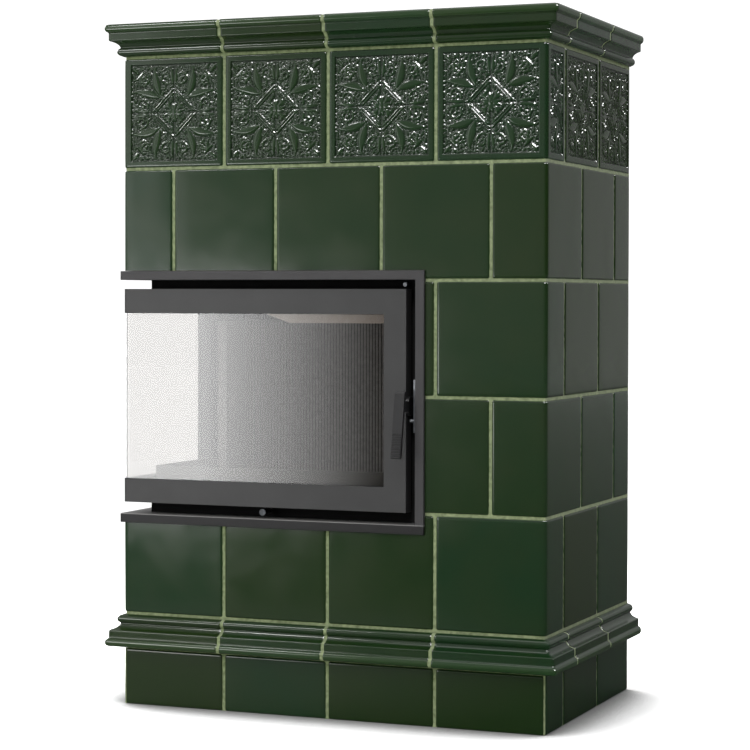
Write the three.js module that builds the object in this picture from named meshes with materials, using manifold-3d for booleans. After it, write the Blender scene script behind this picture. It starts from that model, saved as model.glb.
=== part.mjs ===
// A tiled stove: a shell of glazed stove tiles with moulded cornices and an ornament course, round a
// steel fire insert whose door turns the corner in two panes of glass. Millimetres, +Z up, front at -Y.
// The origin is the centre of the tiled body's footprint, on the floor.

import * as THREE from 'three';
import { mergeVertices } from 'three/addons/utils/BufferGeometryUtils.js';
import Module from 'manifold-3d';

const wasm = await Module();
wasm.setup();

// ---- Driving dimensions: tiles ------------------------------------------------------------------
const TILE = 220; // face of a whole stove tile
const JOINT = 5; // width of a grouted joint
const TILE_DEPTH = 36; // from the glazed face to the back of the tile
const TILE_EDGE = 4; // chamfer that stands for the tile's rounded edge
const CORNER_EDGE = 8; // rounding of a corner tile's upright edge
const GROUT_INSET = 2.5; // how far the grout lies behind the glaze
const TILES_ACROSS = 4; // tile pitches on the front
const LEAST_TILE = 16; // no joint is made closer than this to the back
const BODY_DEPTH = 560; // from the front tiles' face to the back
const PLINTH_HEIGHT = 113.3;
const CORNICE_HEIGHT = 64;
const CORNICE_FOOT = 2; // overhang of the cornice where it meets the tiles
const BEAD_TOP = 18; // the small bead, from the foot of the cornice up
const BEAD_PROUD = 13; // pull of its curve; the bead itself stands 8 proud
const HOLLOW_FOOT = 5; // overhang at the foot of the hollow
const HOLLOW_DEPTH = 10; // how far the hollow's curve is drawn in
const FASCIA_FOOT = 31;
const FASCIA_TOP = 46;
const FASCIA_PROUD = 23;
const LIP = 4; // step from the fascia out to the top bead
const CORNICE_PROUD = 29; // overhang of the top bead
const MITRE_GAP = 0.3; // open slit between two pieces that meet at a mitre

// ---- Driving dimensions: ornament tile ----------------------------------------------------------
const PANEL_BORDER = 12; // plain border round the relief
const PANEL_SINK = 4; // depth of the ground of the relief
const RELIEF_HEIGHT = 3.4; // height of the relief over its ground
const DIAMONDS = [56, 40]; // half the width of the two nested diamonds
const DIAMOND_RIB = 5;
const RELIEF_ROOT = 2; // how deep the relief is rooted in the panel's ground
const LEAF_LENGTH = 56;
const LEAF_WIDTH = 34; // pull of the leaf's curved edges
const LEAF_ROOT = 46; // from the tile's middle to the foot of a leaf
const BUD_LENGTH = 26;
const BUD_WIDTH = 14;
const BUD_ROOT = 60;
const ROSETTE_RADIUS = 11;
const CORNER_BAND = 5; // a corner tile's border is wider by this beside its upright edge

// ---- Driving dimensions: trim frame and insert --------------------------------------------------
const TRIM_PROUD = 6.5; // how far the trim stands in front of the tiles
const TRIM_FACE = 18; // width of the trim's face
const TRIM_BOTTOM = 370;
const TRIM_TOP = 879;
const TRIM_TO_RIGHT_FACE = 245.5; // from the trim's right edge to the right face of the stove
const TRIM_SIDE_LENGTH = 420; // from the front tiles to the trim's rear edge, on the left side
const TRIM_CORNER = 7; // rounding of the trim's upright corner
const TRIM_CLEARANCE = 0.5; // between the trim and the cut tiles
const INSERT_INSET = 41.5; // from the tile faces to the insert's casing
const INSERT_DEPTH = 428.5;
const INSERT_BOTTOM = 300;
const SHEET = 5; // thickness of the casing's steel
const FLANGE = 30; // inner flanges that carry the hearth and the hood
const INSERT_PAST_TRIM = 4.5; // the casing ends this far inside the trim's right edge
const TOP_BOX_HEIGHT = 75;

// ---- Driving dimensions: door -------------------------------------------------------------------
const DOOR_PROUD = 0.5;
const DOOR_GAP_TOP = 18;
const DOOR_GAP_BOTTOM = 23;
const DOOR_GAP_SIDE = 21;
const DOOR_DEPTH = 30;
const DOOR_CORNER = 8;
const TOP_RAIL = 49;
const BOTTOM_RAIL = 48;
const STILE = 46;
const GLASS = 5;
const GLASS_INSET = 4.5; // from the rails' face to the glass
const GLASS_LAP = 8; // how far the panes run behind the rails and stiles
const FIT = 0.3; // clearance where one piece sits in another
const SEAL = 12;
const SEAL_LAP = 18; // from the window's edge to the sealing rope

// ---- Driving dimensions: hinge, handle and latch ------------------------------------------------
const HINGE_INSET = 10; // hinge axis behind the left face of the tiles
const HINGE_BEHIND_DOOR = 10.5; // hinge axis behind the door's rear edge
const BARREL_RADIUS = 8;
const BARREL_LENGTH = 36;
const PIN_RADIUS = 4;
const BRACKET = 8; // thickness of a hinge bracket
const BRACKET_WIDTH = 20;
const BRACKET_GAP = 2; // between a bracket and the door
const HUB_BELOW_MIDDLE = 10; // latch axis below the middle of the door's height
const HUB_BEHIND_FACE = 12.5; // latch axis behind the door's face
const HUB_RADIUS = 19;
const HUB_THICK = 6;
const HUB_GAP = 1; // between the hub and the door's right edge
const HUB_FLAT = 16; // from the latch axis to the flat that carries the handle
const SPINDLE_RADIUS = 6;
const SPINDLE_LENGTH = 28;
const HANDLE_WIDTH = 20;
const HANDLE_THICK = 8;
const HANDLE_ABOVE_HUB = 29; // from the latch axis up to the handle's top
const HANDLE_LENGTH = 128;
const HANDLE_PROUD_TOP = 24.5; // handle's front over the door's face, at its top
const HANDLE_PROUD_BOTTOM = 47.5; // and at its bottom
const HANDLE_LUG = 20; // height of the lug between the handle and the hub
const GRIP_RIBS = 10;
const GRIP_RIB = 1.6; // height of a grip rib
const RIB_CREST = 1.2; // height of a rib's flat top, in side view
const RIB_FOOT = 3.2; // and of its foot
const GRIP_PITCH = 4.6;
const KEEPER_THICK = 6;
const KEEPER_WIDTH = 22;
const KEEPER_LENGTH = 102;
const KEEPER_PIN_RADIUS = 4;
const KEEPER_PIN_LENGTH = 11;
const KEEPER_PIN_BELOW_HUB = 29;

// ---- Driving dimensions: inside the insert ------------------------------------------------------
const HEARTH = 12; // thickness of the hearth floor
const HEARTH_BELOW_GLASS = 7; // hearth's top below the visible glass
const FIREBOX_ABOVE_GLASS = 1;
const LINING = 30; // thickness of the fireclay linings
const LEFT_LINING = 22;
const WALL_PAST_WINDOW = 90; // the casing's left wall starts this far before the trim's rear edge
const LINING_RIB = 7; // pitch of the upright ribs of the back lining
const LINING_GROOVE = 2.5;
const BAFFLE = 18;
const BAFFLE_GAP = 2; // between the baffle and the top box
const BAFFLE_FRONT = 100; // from the front tiles to the baffle's front edge
const BAFFLE_LEFT = 324; // from the left face to the baffle's lower left edge
const BAFFLE_BEVEL = 53;
const FOLD = 2; // radius where the log guard and the sealing rope turn the corner
const GUARD_INSET = 48; // from the tile faces to the log guard
const GUARD_TOP = 483;
const GUARD = 4;
const GRATE_LENGTH = 220;
const GRATE_WIDTH = 170;
const GRATE_LEDGE = 10;
const GRATE_THICK = 8;
const GRATE_SLOTS = 7;
const GRATE_SLOT = 10;
const GRATE_BORDER = 16;
const ASH_PAN_WALL = 2;
const ASH_PAN_MARGIN = 14; // ash pan wider than the grate, on every side
const ROD_RADIUS = 3;
const ROD_BELOW_DOOR = 11; // axis of the air control below the door
const ROD_FROM_LEFT = 307; // air control, from the left face
const ROD_LENGTH = 150;
const KNOB_RADIUS = 7;
const KNOB_LENGTH = 10;
const ROD_TIP_INSET = 8; // knob's front behind the tile face
const DAMPER = 60; // width of the air damper
const DAMPER_DROP = 30; // damper's lower edge below the rod
const DAMPER_RISE = 20;
const DAMPER_PLATE = 4;
const PAN_TO_DAMPER = 5; // the ash pan's rim below the damper's edge
const SCREW_RADIUS = 4.5;
const SCREW_LENGTH = 9;
const SCREW_FROM_DOOR_EDGE = 15;
const SCREW_ABOVE_DOOR = 9;

// ---- Driving dimensions: flue, covers, stand ----------------------------------------------------
const FLUE_RADIUS = 90;
const FLUE_WALL = 4;
const FLUE_SIDES = 32;
const HOOD_RADIUS = 150;
const HOOD_HEIGHT = 110;
const FLUE_BELOW_TOP = 6; // flue rim below the top of the cornice
const FLUE_CLEARANCE = 0.5;
const COVER = 20; // thickness of the top cover
const COVER_BELOW_TOP = 18;
const BACK_PANEL = 18;
const SLAB = 40;
const LEG = 30;
const LEG_INSET = 40;
const CROSS_BAR_HEIGHT = 110;

// ---- Levels and faces worked out from them ------------------------------------------------------
const PITCH = TILE + JOINT;
const HALF_JOINT = JOINT / 2;
const RIGHT = (TILES_ACROSS * PITCH) / 2;
const LEFT = -RIGHT;
const FRONT = -BODY_DEPTH / 2;
const BACK = BODY_DEPTH / 2;
const BASE_CORNICE = PLINTH_HEIGHT + JOINT;
const FIRST_COURSE = BASE_CORNICE + CORNICE_HEIGHT + JOINT;
const COURSES = 5;
const TOP_CORNICE = FIRST_COURSE + COURSES * PITCH;
const TOP = TOP_CORNICE + CORNICE_HEIGHT;
const INNER_RIGHT = RIGHT - TILE_DEPTH;
const INNER_LEFT = LEFT + TILE_DEPTH;
const INNER_FRONT = FRONT + TILE_DEPTH;
const INNER_BACK = BACK - BACK_PANEL;

const TRIM_RIGHT = RIGHT - TRIM_TO_RIGHT_FACE;
const TRIM_REAR = FRONT + TRIM_SIDE_LENGTH;
const CASING = {
  x0: LEFT + INSERT_INSET,
  x1: TRIM_RIGHT - INSERT_PAST_TRIM,
  y0: FRONT + INSERT_INSET,
  y1: FRONT + INSERT_INSET + INSERT_DEPTH,
};
const DOOR = {
  x0: LEFT - DOOR_PROUD,
  x1: TRIM_RIGHT - TRIM_FACE - DOOR_GAP_SIDE,
  y0: FRONT - DOOR_PROUD,
  y1: TRIM_REAR - TRIM_FACE - DOOR_GAP_SIDE,
  z0: TRIM_BOTTOM + TRIM_FACE + DOOR_GAP_BOTTOM,
  z1: TRIM_TOP - TRIM_FACE - DOOR_GAP_TOP,
};
const WINDOW = { z0: DOOR.z0 + BOTTOM_RAIL, z1: DOOR.z1 - TOP_RAIL };
const HEARTH_LEVEL = WINDOW.z0 - HEARTH_BELOW_GLASS - HEARTH;
const FIREBOX_TOP = WINDOW.z1 + FIREBOX_ABOVE_GLASS;
const LINING_TOP = FIREBOX_TOP - BAFFLE_GAP - BAFFLE;
const SIDE_OPENING = TRIM_SIDE_LENGTH - WALL_PAST_WINDOW;
const FLUE_X = (CASING.x0 + CASING.x1) / 2;
const FLUE_Y = (CASING.y0 + CASING.y1) / 2;

// ---- Finishes -----------------------------------------------------------------------------------
const finish = (color, roughness, metalness = 0) =>
  new THREE.MeshStandardMaterial({ color, roughness, metalness });
const greenGlaze = finish(0x17301f, 0.18);
const blackSteel = finish(0x232426, 0.5, 0.6);
const greySteel = finish(0x3a3c3f, 0.45, 0.7);
const castIron = finish(0x2a2a2b, 0.75, 0.5);
const fireclay = finish(0xb8a890, 0.9);
const clearGlass = new THREE.MeshStandardMaterial({
  color: 0xdde3e0,
  roughness: 0.05,
  transparent: true,
  opacity: 0.3,
});
const concrete = finish(0x8e8c86, 0.9);
const rope = finish(0x55524d, 0.95);

// ---- Solids -------------------------------------------------------------------------------------
// Closed three.js geometry to a solid that can be joined and cut, and back.
function solid(geometry) {
  geometry.deleteAttribute('normal');
  geometry.deleteAttribute('uv');
  const merged = mergeVertices(geometry, 1e-4);
  return new wasm.Manifold(
    new wasm.Mesh({
      numProp: 3,
      vertProperties: merged.attributes.position.array,
      triVerts: new Uint32Array(merged.index.array),
    }),
  );
}

function geometryOf(shape) {
  const { vertProperties, triVerts } = shape.getMesh();
  const geometry = new THREE.BufferGeometry();
  geometry.setAttribute('position', new THREE.BufferAttribute(vertProperties, 3));
  geometry.setIndex(new THREE.BufferAttribute(triVerts, 1));
  geometry.computeVertexNormals();
  return geometry;
}

const joined = (...solids) => solids.flat().reduce((sum, piece) => sum.add(piece));

// Moves every vertex to where place() puts it.
function placed(geometry, place) {
  const position = geometry.attributes.position;
  for (let i = 0; i < position.count; i += 1) {
    position.setXYZ(i, ...place(position.getX(i), position.getY(i), position.getZ(i)));
  }
  return geometry;
}

// A box between two planes on each axis.
function box(x0, x1, y0, y1, z0, z1) {
  const unit = new THREE.BoxGeometry(1, 1, 1);
  return solid(
    placed(unit, (x, y, z) => [x < 0 ? x0 : x1, y < 0 ? y0 : y1, z < 0 ? z0 : z1]),
  );
}

const extrusion = (shape, segments) =>
  new THREE.ExtrudeGeometry(shape, { depth: 1, bevelEnabled: false, curveSegments: segments });

// A shape drawn in x, y and carried up from z0 to z1.
const upright = (shape, z0, z1, segments = 4) =>
  solid(placed(extrusion(shape, segments), (x, y, z) => [x, y, z < 0.5 ? z0 : z1]));

// A shape drawn in x, z and carried along Y.
const alongY = (shape, y0, y1, segments = 4) =>
  solid(placed(extrusion(shape, segments), (x, z, t) => [x, t < 0.5 ? y1 : y0, z]));

// A shape drawn in y, z and carried along X.
const alongX = (shape, x0, x1, segments = 4) =>
  solid(placed(extrusion(shape, segments), (y, z, t) => [t < 0.5 ? x0 : x1, y, z]));

function polygon(...points) {
  return new THREE.Shape(points.map(([a, b]) => new THREE.Vector2(a, b)));
}

function disc(a, b, radius, sides = 16) {
  const corner = (i) => {
    const angle = (i * 2 * Math.PI) / sides;
    return [a + radius * Math.cos(angle), b + radius * Math.sin(angle)];
  };
  return polygon(...Array.from({ length: sides }, (_, i) => corner(i)));
}

// ---- Tiles --------------------------------------------------------------------------------------
// A tile's plan carried up between two levels, with its edges chamfered all round.
function tileBlock(plan, z0, z1) {
  const height = z1 - z0;
  const geometry = new THREE.ExtrudeGeometry(plan, {
    depth: height - 2 * TILE_EDGE,
    bevelThickness: TILE_EDGE,
    bevelSize: TILE_EDGE,
    bevelOffset: -TILE_EDGE,
    bevelSegments: 1,
    curveSegments: 2,
  });
  return solid(
    placed(geometry, (x, y, z) => {
      const level = z + TILE_EDGE;
      if (level < 0.001) return [x, y, z0];
      return [x, y, level > height - 0.001 ? z1 : z0 + level];
    }),
  );
}

// Plan of a flat tile: back corners square, face corners chamfered. The face is the side at `face`,
// and the plan runs from a to b along the wall. side is 0 for the front, 1 right, -1 left.
function flatPlan(side, a, b) {
  const e = TILE_EDGE;
  const outline = [
    [a, -TILE_DEPTH],
    [a, -e],
    [a + e, 0],
    [b - e, 0],
    [b, -e],
    [b, -TILE_DEPTH],
  ];
  return polygon(...outline.map(([along, out]) => wallPoint(side, along, out)));
}

// A point of a wall's plan: how far along it, and how far out of its tiles' face.
function wallPoint(side, along, out) {
  if (side === 0) return [along, FRONT - out];
  return [side * (RIGHT + out), along];
}

// Plan of a corner tile: one leg on the front, the other on the side, with a rounded upright edge.
function cornerPlan(side, frontLeg, sideLeg, inset = 0, edge = TILE_EDGE) {
  const x = (out) => side * (RIGHT - out);
  const y = (out) => FRONT + out;
  const r = CORNER_EDGE;
  const shape = new THREE.Shape();
  shape.moveTo(x(frontLeg), y(TILE_DEPTH));
  shape.lineTo(x(frontLeg), y(inset + edge));
  shape.lineTo(x(frontLeg - edge), y(inset));
  shape.lineTo(x(inset + r), y(inset));
  shape.quadraticCurveTo(x(inset), y(inset), x(inset), y(inset + r));
  shape.lineTo(x(inset), y(sideLeg - edge));
  shape.lineTo(x(inset + edge), y(sideLeg));
  shape.lineTo(x(TILE_DEPTH), y(sideLeg));
  shape.lineTo(x(TILE_DEPTH), y(TILE_DEPTH));
  return shape;
}

// The space that the trim frame takes out of the tiles, on the front and round the left corner.
function trimCutter() {
  const reach = TRIM_PROUD;
  const z0 = TRIM_BOTTOM - TRIM_CLEARANCE;
  const z1 = TRIM_TOP + TRIM_CLEARANCE;
  const right = TRIM_RIGHT + TRIM_CLEARANCE;
  const rear = TRIM_REAR + TRIM_CLEARANCE;
  return box(LEFT - reach, right, FRONT - reach, INNER_FRONT + 1, z0, z1).add(
    box(LEFT - reach, INNER_LEFT + 1, FRONT - reach, rear, z0, z1),
  );
}

// Joint lines along a wall, one tile pitch apart, from the first to the last.
function jointLines(first, last) {
  const lines = [];
  for (let at = first; at <= last + 0.1; at += PITCH) lines.push(at);
  return lines;
}

// Faces of the flat tiles between joint lines, as pairs.
const tilesBetween = (lines) =>
  lines.slice(1).map((line, i) => [lines[i] + HALF_JOINT, line - HALF_JOINT]);

// Where one course's joints lie. Every second course starts with the short face of its corner tile.
function bond(course) {
  const longFront = course % 2 === 0;
  const long = PITCH - HALF_JOINT;
  const short = PITCH / 2 - HALF_JOINT;
  const frontLeg = longFront ? long : short;
  const sideLeg = longFront ? short : long;
  const frontLines = jointLines(LEFT + frontLeg + HALF_JOINT, RIGHT - frontLeg - HALF_JOINT);
  const sideLines = jointLines(FRONT + sideLeg + HALF_JOINT, BACK - LEAST_TILE);
  return { frontLeg, sideLeg, frontLines, sideLines: [...sideLines, BACK + HALF_JOINT] };
}

function courseFront(course) {
  const z0 = FIRST_COURSE + course * PITCH;
  const z1 = z0 + TILE;
  const { frontLines } = bond(course);
  const first = frontLines[0] - HALF_JOINT;
  const last = frontLines.at(-1) + HALF_JOINT;
  const grout = box(first, last, FRONT + GROUT_INSET, INNER_FRONT, z0 - JOINT, z1);
  const tiles = tilesBetween(frontLines).map(([a, b]) => {
    const tile = tileBlock(flatPlan(0, a, b), z0, z1);
    return course === COURSES - 1 ? ornamented(tile, 0, a, b, z0) : tile;
  });
  return joined(grout, tiles);
}

function courseSide(course, side) {
  const z0 = FIRST_COURSE + course * PITCH;
  const z1 = z0 + TILE;
  const { frontLeg, sideLeg, sideLines } = bond(course);
  const start = FRONT + sideLeg;
  const face = side * (RIGHT - GROUT_INSET);
  const inner = side * INNER_RIGHT;
  const grout = box(
    Math.min(face, inner),
    Math.max(face, inner),
    start,
    BACK,
    z0 - JOINT,
    z1,
  ).add(upright(cornerPlan(side, frontLeg, sideLeg, GROUT_INSET, 0.5), z0 - JOINT, z1, 2));
  let corner = tileBlock(cornerPlan(side, frontLeg, sideLeg), z0, z1);
  const ornament = course === COURSES - 1;
  if (ornament) {
    const front = ordered(side * (RIGHT - frontLeg), side * (RIGHT - CORNER_BAND));
    corner = ornamented(corner, 0, ...front, z0);
    corner = ornamented(corner, side, FRONT + CORNER_BAND, start, z0);
  }
  const tiles = tilesBetween(sideLines).map(([a, b]) => {
    const tile = tileBlock(flatPlan(side, a, b), z0, z1);
    return ornament ? ornamented(tile, side, a, b, z0) : tile;
  });
  return joined(grout, corner, tiles);
}

const ordered = (a, b) => (a < b ? [a, b] : [b, a]);

// ---- Ornament -----------------------------------------------------------------------------------
// The relief is drawn on a plane with u along the wall, v up and w out of the tile, then set on it.
function onWall(side, middle, level) {
  return (u, v, w) => {
    if (side === 0) return [middle + u, FRONT - w, level + v];
    return [side * (RIGHT + w), middle + side * u, level + v];
  };
}

function relief(shape, side, middle, level) {
  const seat = onWall(side, middle, level);
  const low = -PANEL_SINK - 1;
  const high = RELIEF_HEIGHT - PANEL_SINK;
  return solid(placed(extrusion(shape, 3), (u, v, t) => seat(u, v, t < 0.5 ? low : high)));
}

function diamondRibs(half) {
  const ring = (size) => [
    [size, 0],
    [0, size],
    [-size, 0],
    [0, -size],
  ];
  const shape = polygon(...ring(half));
  shape.holes.push(polygon(...ring(half - DIAMOND_RIB * Math.SQRT2)));
  return shape;
}

// A pointed leaf that grows away from the tile's middle, in the direction of angle.
function leaf(angle, root, length, width) {
  const turn = (along, across) => [
    along * Math.cos(angle) - across * Math.sin(angle),
    along * Math.sin(angle) + across * Math.cos(angle),
  ];
  const tip = root + length;
  const belly = root + length / 3;
  const shape = new THREE.Shape();
  shape.moveTo(...turn(root, 0));
  shape.quadraticCurveTo(...turn(belly, width), ...turn(tip, 0));
  shape.quadraticCurveTo(...turn(belly, -width), ...turn(root, 0));
  return shape;
}

// Sinks a panel into a tile's face and raises the relief on it, cut off at the panel's edge.
function ornamented(tile, side, from, to, bottom) {
  const a = from + PANEL_BORDER;
  const b = to - PANEL_BORDER;
  const z0 = bottom + PANEL_BORDER;
  const z1 = bottom + TILE - PANEL_BORDER;
  const [x0, y0] = wallPoint(side, a, -PANEL_SINK);
  const [x1, y1] = wallPoint(side, b, TILE_EDGE);
  const panel = box(...ordered(x0, x1), ...ordered(y0, y1), z0, z1);
  const half = (z1 - z0) / 2;
  // A short panel holds the half of the pattern that lies next to the following tile.
  const whole = b - a > half * 1.5;
  const middle = whole ? (a + b) / 2 : b;
  const level = (z0 + z1) / 2;
  const shapes = [...DIAMONDS.map(diamondRibs), disc(0, 0, ROSETTE_RADIUS, 8)];
  for (let quarter = 0; quarter < 4; quarter += 1) {
    const turn = (quarter * Math.PI) / 2;
    shapes.push(leaf(turn + Math.PI / 4, LEAF_ROOT, LEAF_LENGTH, LEAF_WIDTH));
    shapes.push(leaf(turn, BUD_ROOT, BUD_LENGTH, BUD_WIDTH));
  }
  const [px0, py0] = wallPoint(side, a, -PANEL_SINK - RELIEF_ROOT);
  const raised = joined(shapes.map((shape) => relief(shape, side, middle, level)));
  const clip = box(...ordered(px0, x1), ...ordered(py0, y1), z0, z1);
  return tile.subtract(panel).add(raised.intersect(clip));
}

// ---- Plinth and cornices ------------------------------------------------------------------------
// Outline of a band in section: out from the tiles' face, and up from the band's bottom.
function corniceOutline() {
  const shape = new THREE.Shape();
  const bead = [CORNICE_FOOT, BEAD_TOP];
  shape.moveTo(-TILE_DEPTH, 0);
  shape.lineTo(CORNICE_FOOT, 0);
  shape.bezierCurveTo(BEAD_PROUD, bead[0], BEAD_PROUD, bead[1] - LIP, HOLLOW_FOOT, bead[1]);
  shape.quadraticCurveTo(HOLLOW_DEPTH, FASCIA_FOOT - LIP, FASCIA_PROUD, FASCIA_FOOT);
  shape.lineTo(FASCIA_PROUD, FASCIA_TOP);
  shape.lineTo(FASCIA_PROUD + LIP / 2, FASCIA_TOP + LIP / 2);
  shape.bezierCurveTo(
    CORNICE_PROUD + LIP / 2,
    FASCIA_TOP + LIP,
    CORNICE_PROUD + LIP / 2,
    CORNICE_HEIGHT - CORNICE_FOOT,
    CORNICE_PROUD - LIP,
    CORNICE_HEIGHT,
  );
  shape.lineTo(-TILE_DEPTH, CORNICE_HEIGHT);
  return shape.getPoints(4);
}

function plinthOutline() {
  const e = TILE_EDGE;
  const h = PLINTH_HEIGHT;
  return [
    [-TILE_DEPTH, 0],
    [0, 0],
    [0, h - e],
    [-e, h],
    [-TILE_DEPTH, h],
  ].map(([out, up]) => new THREE.Vector2(out, up));
}

// A section carried between two ends. Each end gives the place of a point of the section.
function swept(outline, start, end) {
  const n = outline.length;
  const vertices = [...outline.map(start), ...outline.map(end)].flat();
  const index = [];
  for (let i = 0; i < n; i += 1) {
    const j = (i + 1) % n;
    index.push(i, j, n + j, i, n + j, n + i);
  }
  THREE.ShapeUtils.triangulateShape(outline, []).forEach(([a, b, c]) => {
    index.push(a, c, b, n + a, n + b, n + c);
  });
  const geometry = new THREE.BufferGeometry();
  geometry.setAttribute('position', new THREE.Float32BufferAttribute(vertices, 3));
  geometry.setIndex(facesOut(vertices, index));
  return solid(geometry);
}

// Turns the triangles over if the volume that they close is negative.
function facesOut(vertices, index) {
  const at = (i) => new THREE.Vector3(vertices[3 * i], vertices[3 * i + 1], vertices[3 * i + 2]);
  let volume = 0;
  for (let i = 0; i < index.length; i += 3) {
    volume += at(index[i]).dot(at(index[i + 1]).cross(at(index[i + 2])));
  }
  return volume > 0 ? index : index.toReversed();
}

// One wall's stretch of a band: its tiles, and the grout behind and between them. cornerJoint is the
// width of the joint at the mitred corner.
function band(outline, bottom, side, cornerJoint, under = 0) {
  const mitre = (pull) => pull * Math.SQRT2;
  // A place on the wall: at a fixed spot along it, or on the corner's mitre, pulled back from it.
  const square = (along) => (inset) => (p) => {
    const [x, y] = wallPoint(side, along, p.x - inset);
    return [x, y, bottom + p.y];
  };
  const corner = (hand, pull) => (inset) => (p) => {
    const out = p.x - inset;
    const [x, y] =
      side === 0
        ? [hand * (RIGHT + out - mitre(pull)), FRONT - out]
        : [side * (RIGHT + out), FRONT - out + mitre(pull)];
    return [x, y, bottom + p.y];
  };
  const lines =
    side === 0
      ? jointLines(LEFT + PITCH, RIGHT - PITCH)
      : jointLines(FRONT + PITCH / 2, BACK - TILE_DEPTH);
  const starts = [corner(-1, cornerJoint / 2), ...lines.map((line) => square(line + HALF_JOINT))];
  const last = side === 0 ? corner(1, cornerJoint / 2) : square(BACK);
  const ends = [...lines.map((line) => square(line - HALF_JOINT)), last];
  const tiles = starts.map((start, i) => swept(outline, start(0), ends[i](0)));
  const groutStart = corner(-1, MITRE_GAP / 2);
  const groutEnd = side === 0 ? corner(1, MITRE_GAP / 2) : square(BACK);
  const bed = outline.map((p) => {
    const out = p.x < 1 - TILE_DEPTH ? p.x + GROUT_INSET : p.x;
    return new THREE.Vector2(out, p.y);
  });
  const grout = swept(bed, groutStart(GROUT_INSET), groutEnd(GROUT_INSET));
  const parts = [grout, tiles];
  if (under > 0) parts.push(bedJoint(side, bottom - under, bottom));
  return joined(...parts.flat());
}

// The flat grout joint under a band.
function bedJoint(side, z0, z1) {
  const gap = MITRE_GAP * Math.SQRT1_2;
  const strip = [
    [-TILE_DEPTH, z0],
    [-GROUT_INSET, z0],
    [-GROUT_INSET, z1 + 1],
    [-TILE_DEPTH, z1 + 1],
  ].map(([out, up]) => new THREE.Vector2(out, up));
  const end = (hand) => (p) =>
    side === 0
      ? [hand * (RIGHT + p.x - gap), FRONT - p.x, p.y]
      : [side * (RIGHT + p.x), hand < 0 ? FRONT - p.x + gap : BACK, p.y];
  return swept(strip, end(-1), end(1));
}

const flipped = (outline) =>
  outline.map((p) => new THREE.Vector2(p.x, CORNICE_HEIGHT - p.y)).reverse();

// ---- Trim frame and casing ----------------------------------------------------------------------
// An L in plan along the front and round the left corner, between two depths behind the tile faces.
function cornerStrip(outer, inner, right, rear, radius) {
  const shape = new THREE.Shape();
  shape.moveTo(right, FRONT + outer);
  shape.lineTo(right, FRONT + inner);
  shape.lineTo(LEFT + inner, FRONT + inner);
  shape.lineTo(LEFT + inner, rear);
  shape.lineTo(LEFT + outer, rear);
  shape.lineTo(LEFT + outer, FRONT + outer + radius);
  shape.quadraticCurveTo(LEFT + outer, FRONT + outer, LEFT + outer + radius, FRONT + outer);
  return shape;
}

function trimFrame() {
  const bar = (z0, z1) =>
    upright(cornerStrip(-TRIM_PROUD, INSERT_INSET, TRIM_RIGHT, TRIM_REAR, TRIM_CORNER), z0, z1);
  const y = [FRONT - TRIM_PROUD, CASING.y0];
  const x = [LEFT - TRIM_PROUD, CASING.x0];
  return joined(
    bar(TRIM_BOTTOM, TRIM_BOTTOM + TRIM_FACE),
    bar(TRIM_TOP - TRIM_FACE, TRIM_TOP),
    box(TRIM_RIGHT - TRIM_FACE, TRIM_RIGHT, ...y, TRIM_BOTTOM, TRIM_TOP),
    box(...x, TRIM_REAR - TRIM_FACE, TRIM_REAR, TRIM_BOTTOM, TRIM_TOP),
  );
}

// Casing walls are placed by how far they lie inside the casing's outline.
const casingBox = (inset, z0, z1) =>
  box(CASING.x0 + inset, CASING.x1 - inset, CASING.y0 + inset, CASING.y1 - inset, z0, z1);

function insertBase() {
  const rod = rodPlace();
  return casingBox(0, INSERT_BOTTOM, HEARTH_LEVEL)
    .subtract(casingBox(SHEET, INSERT_BOTTOM + SHEET, HEARTH_LEVEL - SHEET))
    .subtract(casingBox(FLANGE, HEARTH_LEVEL - 2 * SHEET, HEARTH_LEVEL + SHEET))
    .subtract(alongY(disc(rod.x, rod.z, ROD_RADIUS + FIT), CASING.y0 - 1, CASING.y0 + SHEET + 1));
}

function insertTop() {
  const top = FIREBOX_TOP + TOP_BOX_HEIGHT;
  const smokeHole = disc(FLUE_X, FLUE_Y, HOOD_RADIUS - FLUE_WALL, FLUE_SIDES);
  return casingBox(0, FIREBOX_TOP, top)
    .subtract(casingBox(SHEET, FIREBOX_TOP + SHEET, top - SHEET))
    .subtract(casingBox(FLANGE, FIREBOX_TOP - 1, FIREBOX_TOP + 2 * SHEET))
    .subtract(upright(smokeHole, top - 2 * SHEET, top + 1));
}

// ---- Door ---------------------------------------------------------------------------------------
const HINGE = { x: LEFT + HINGE_INSET, y: DOOR.y1 + HINGE_BEHIND_DOOR };
const HUB = {
  x: DOOR.x1 + HUB_GAP,
  y: DOOR.y0 + HUB_BEHIND_FACE,
  z: (DOOR.z0 + DOOR.z1) / 2 - HUB_BELOW_MIDDLE,
};
const HANDLE_TOP = HUB.z + HANDLE_ABOVE_HUB;

const glassFace = GLASS_INSET - DOOR_PROUD; // of both panes, behind the tile faces

// The two panes meet at the stove's corner, where the front pane covers the side pane's edge.
function frontGlass(grow = 0) {
  return box(
    LEFT + glassFace - grow,
    DOOR.x1 - STILE + GLASS_LAP + grow,
    FRONT + glassFace - grow,
    FRONT + glassFace + GLASS + grow,
    WINDOW.z0 - GLASS_LAP - grow,
    WINDOW.z1 + GLASS_LAP + grow,
  );
}

function sideGlass(grow = 0) {
  return box(
    LEFT + glassFace - grow,
    LEFT + glassFace + GLASS + grow,
    FRONT + glassFace + GLASS + FIT - grow,
    DOOR.y1 - STILE + GLASS_LAP + grow,
    WINDOW.z0 - GLASS_LAP - grow,
    WINDOW.z1 + GLASS_LAP + grow,
  );
}

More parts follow.
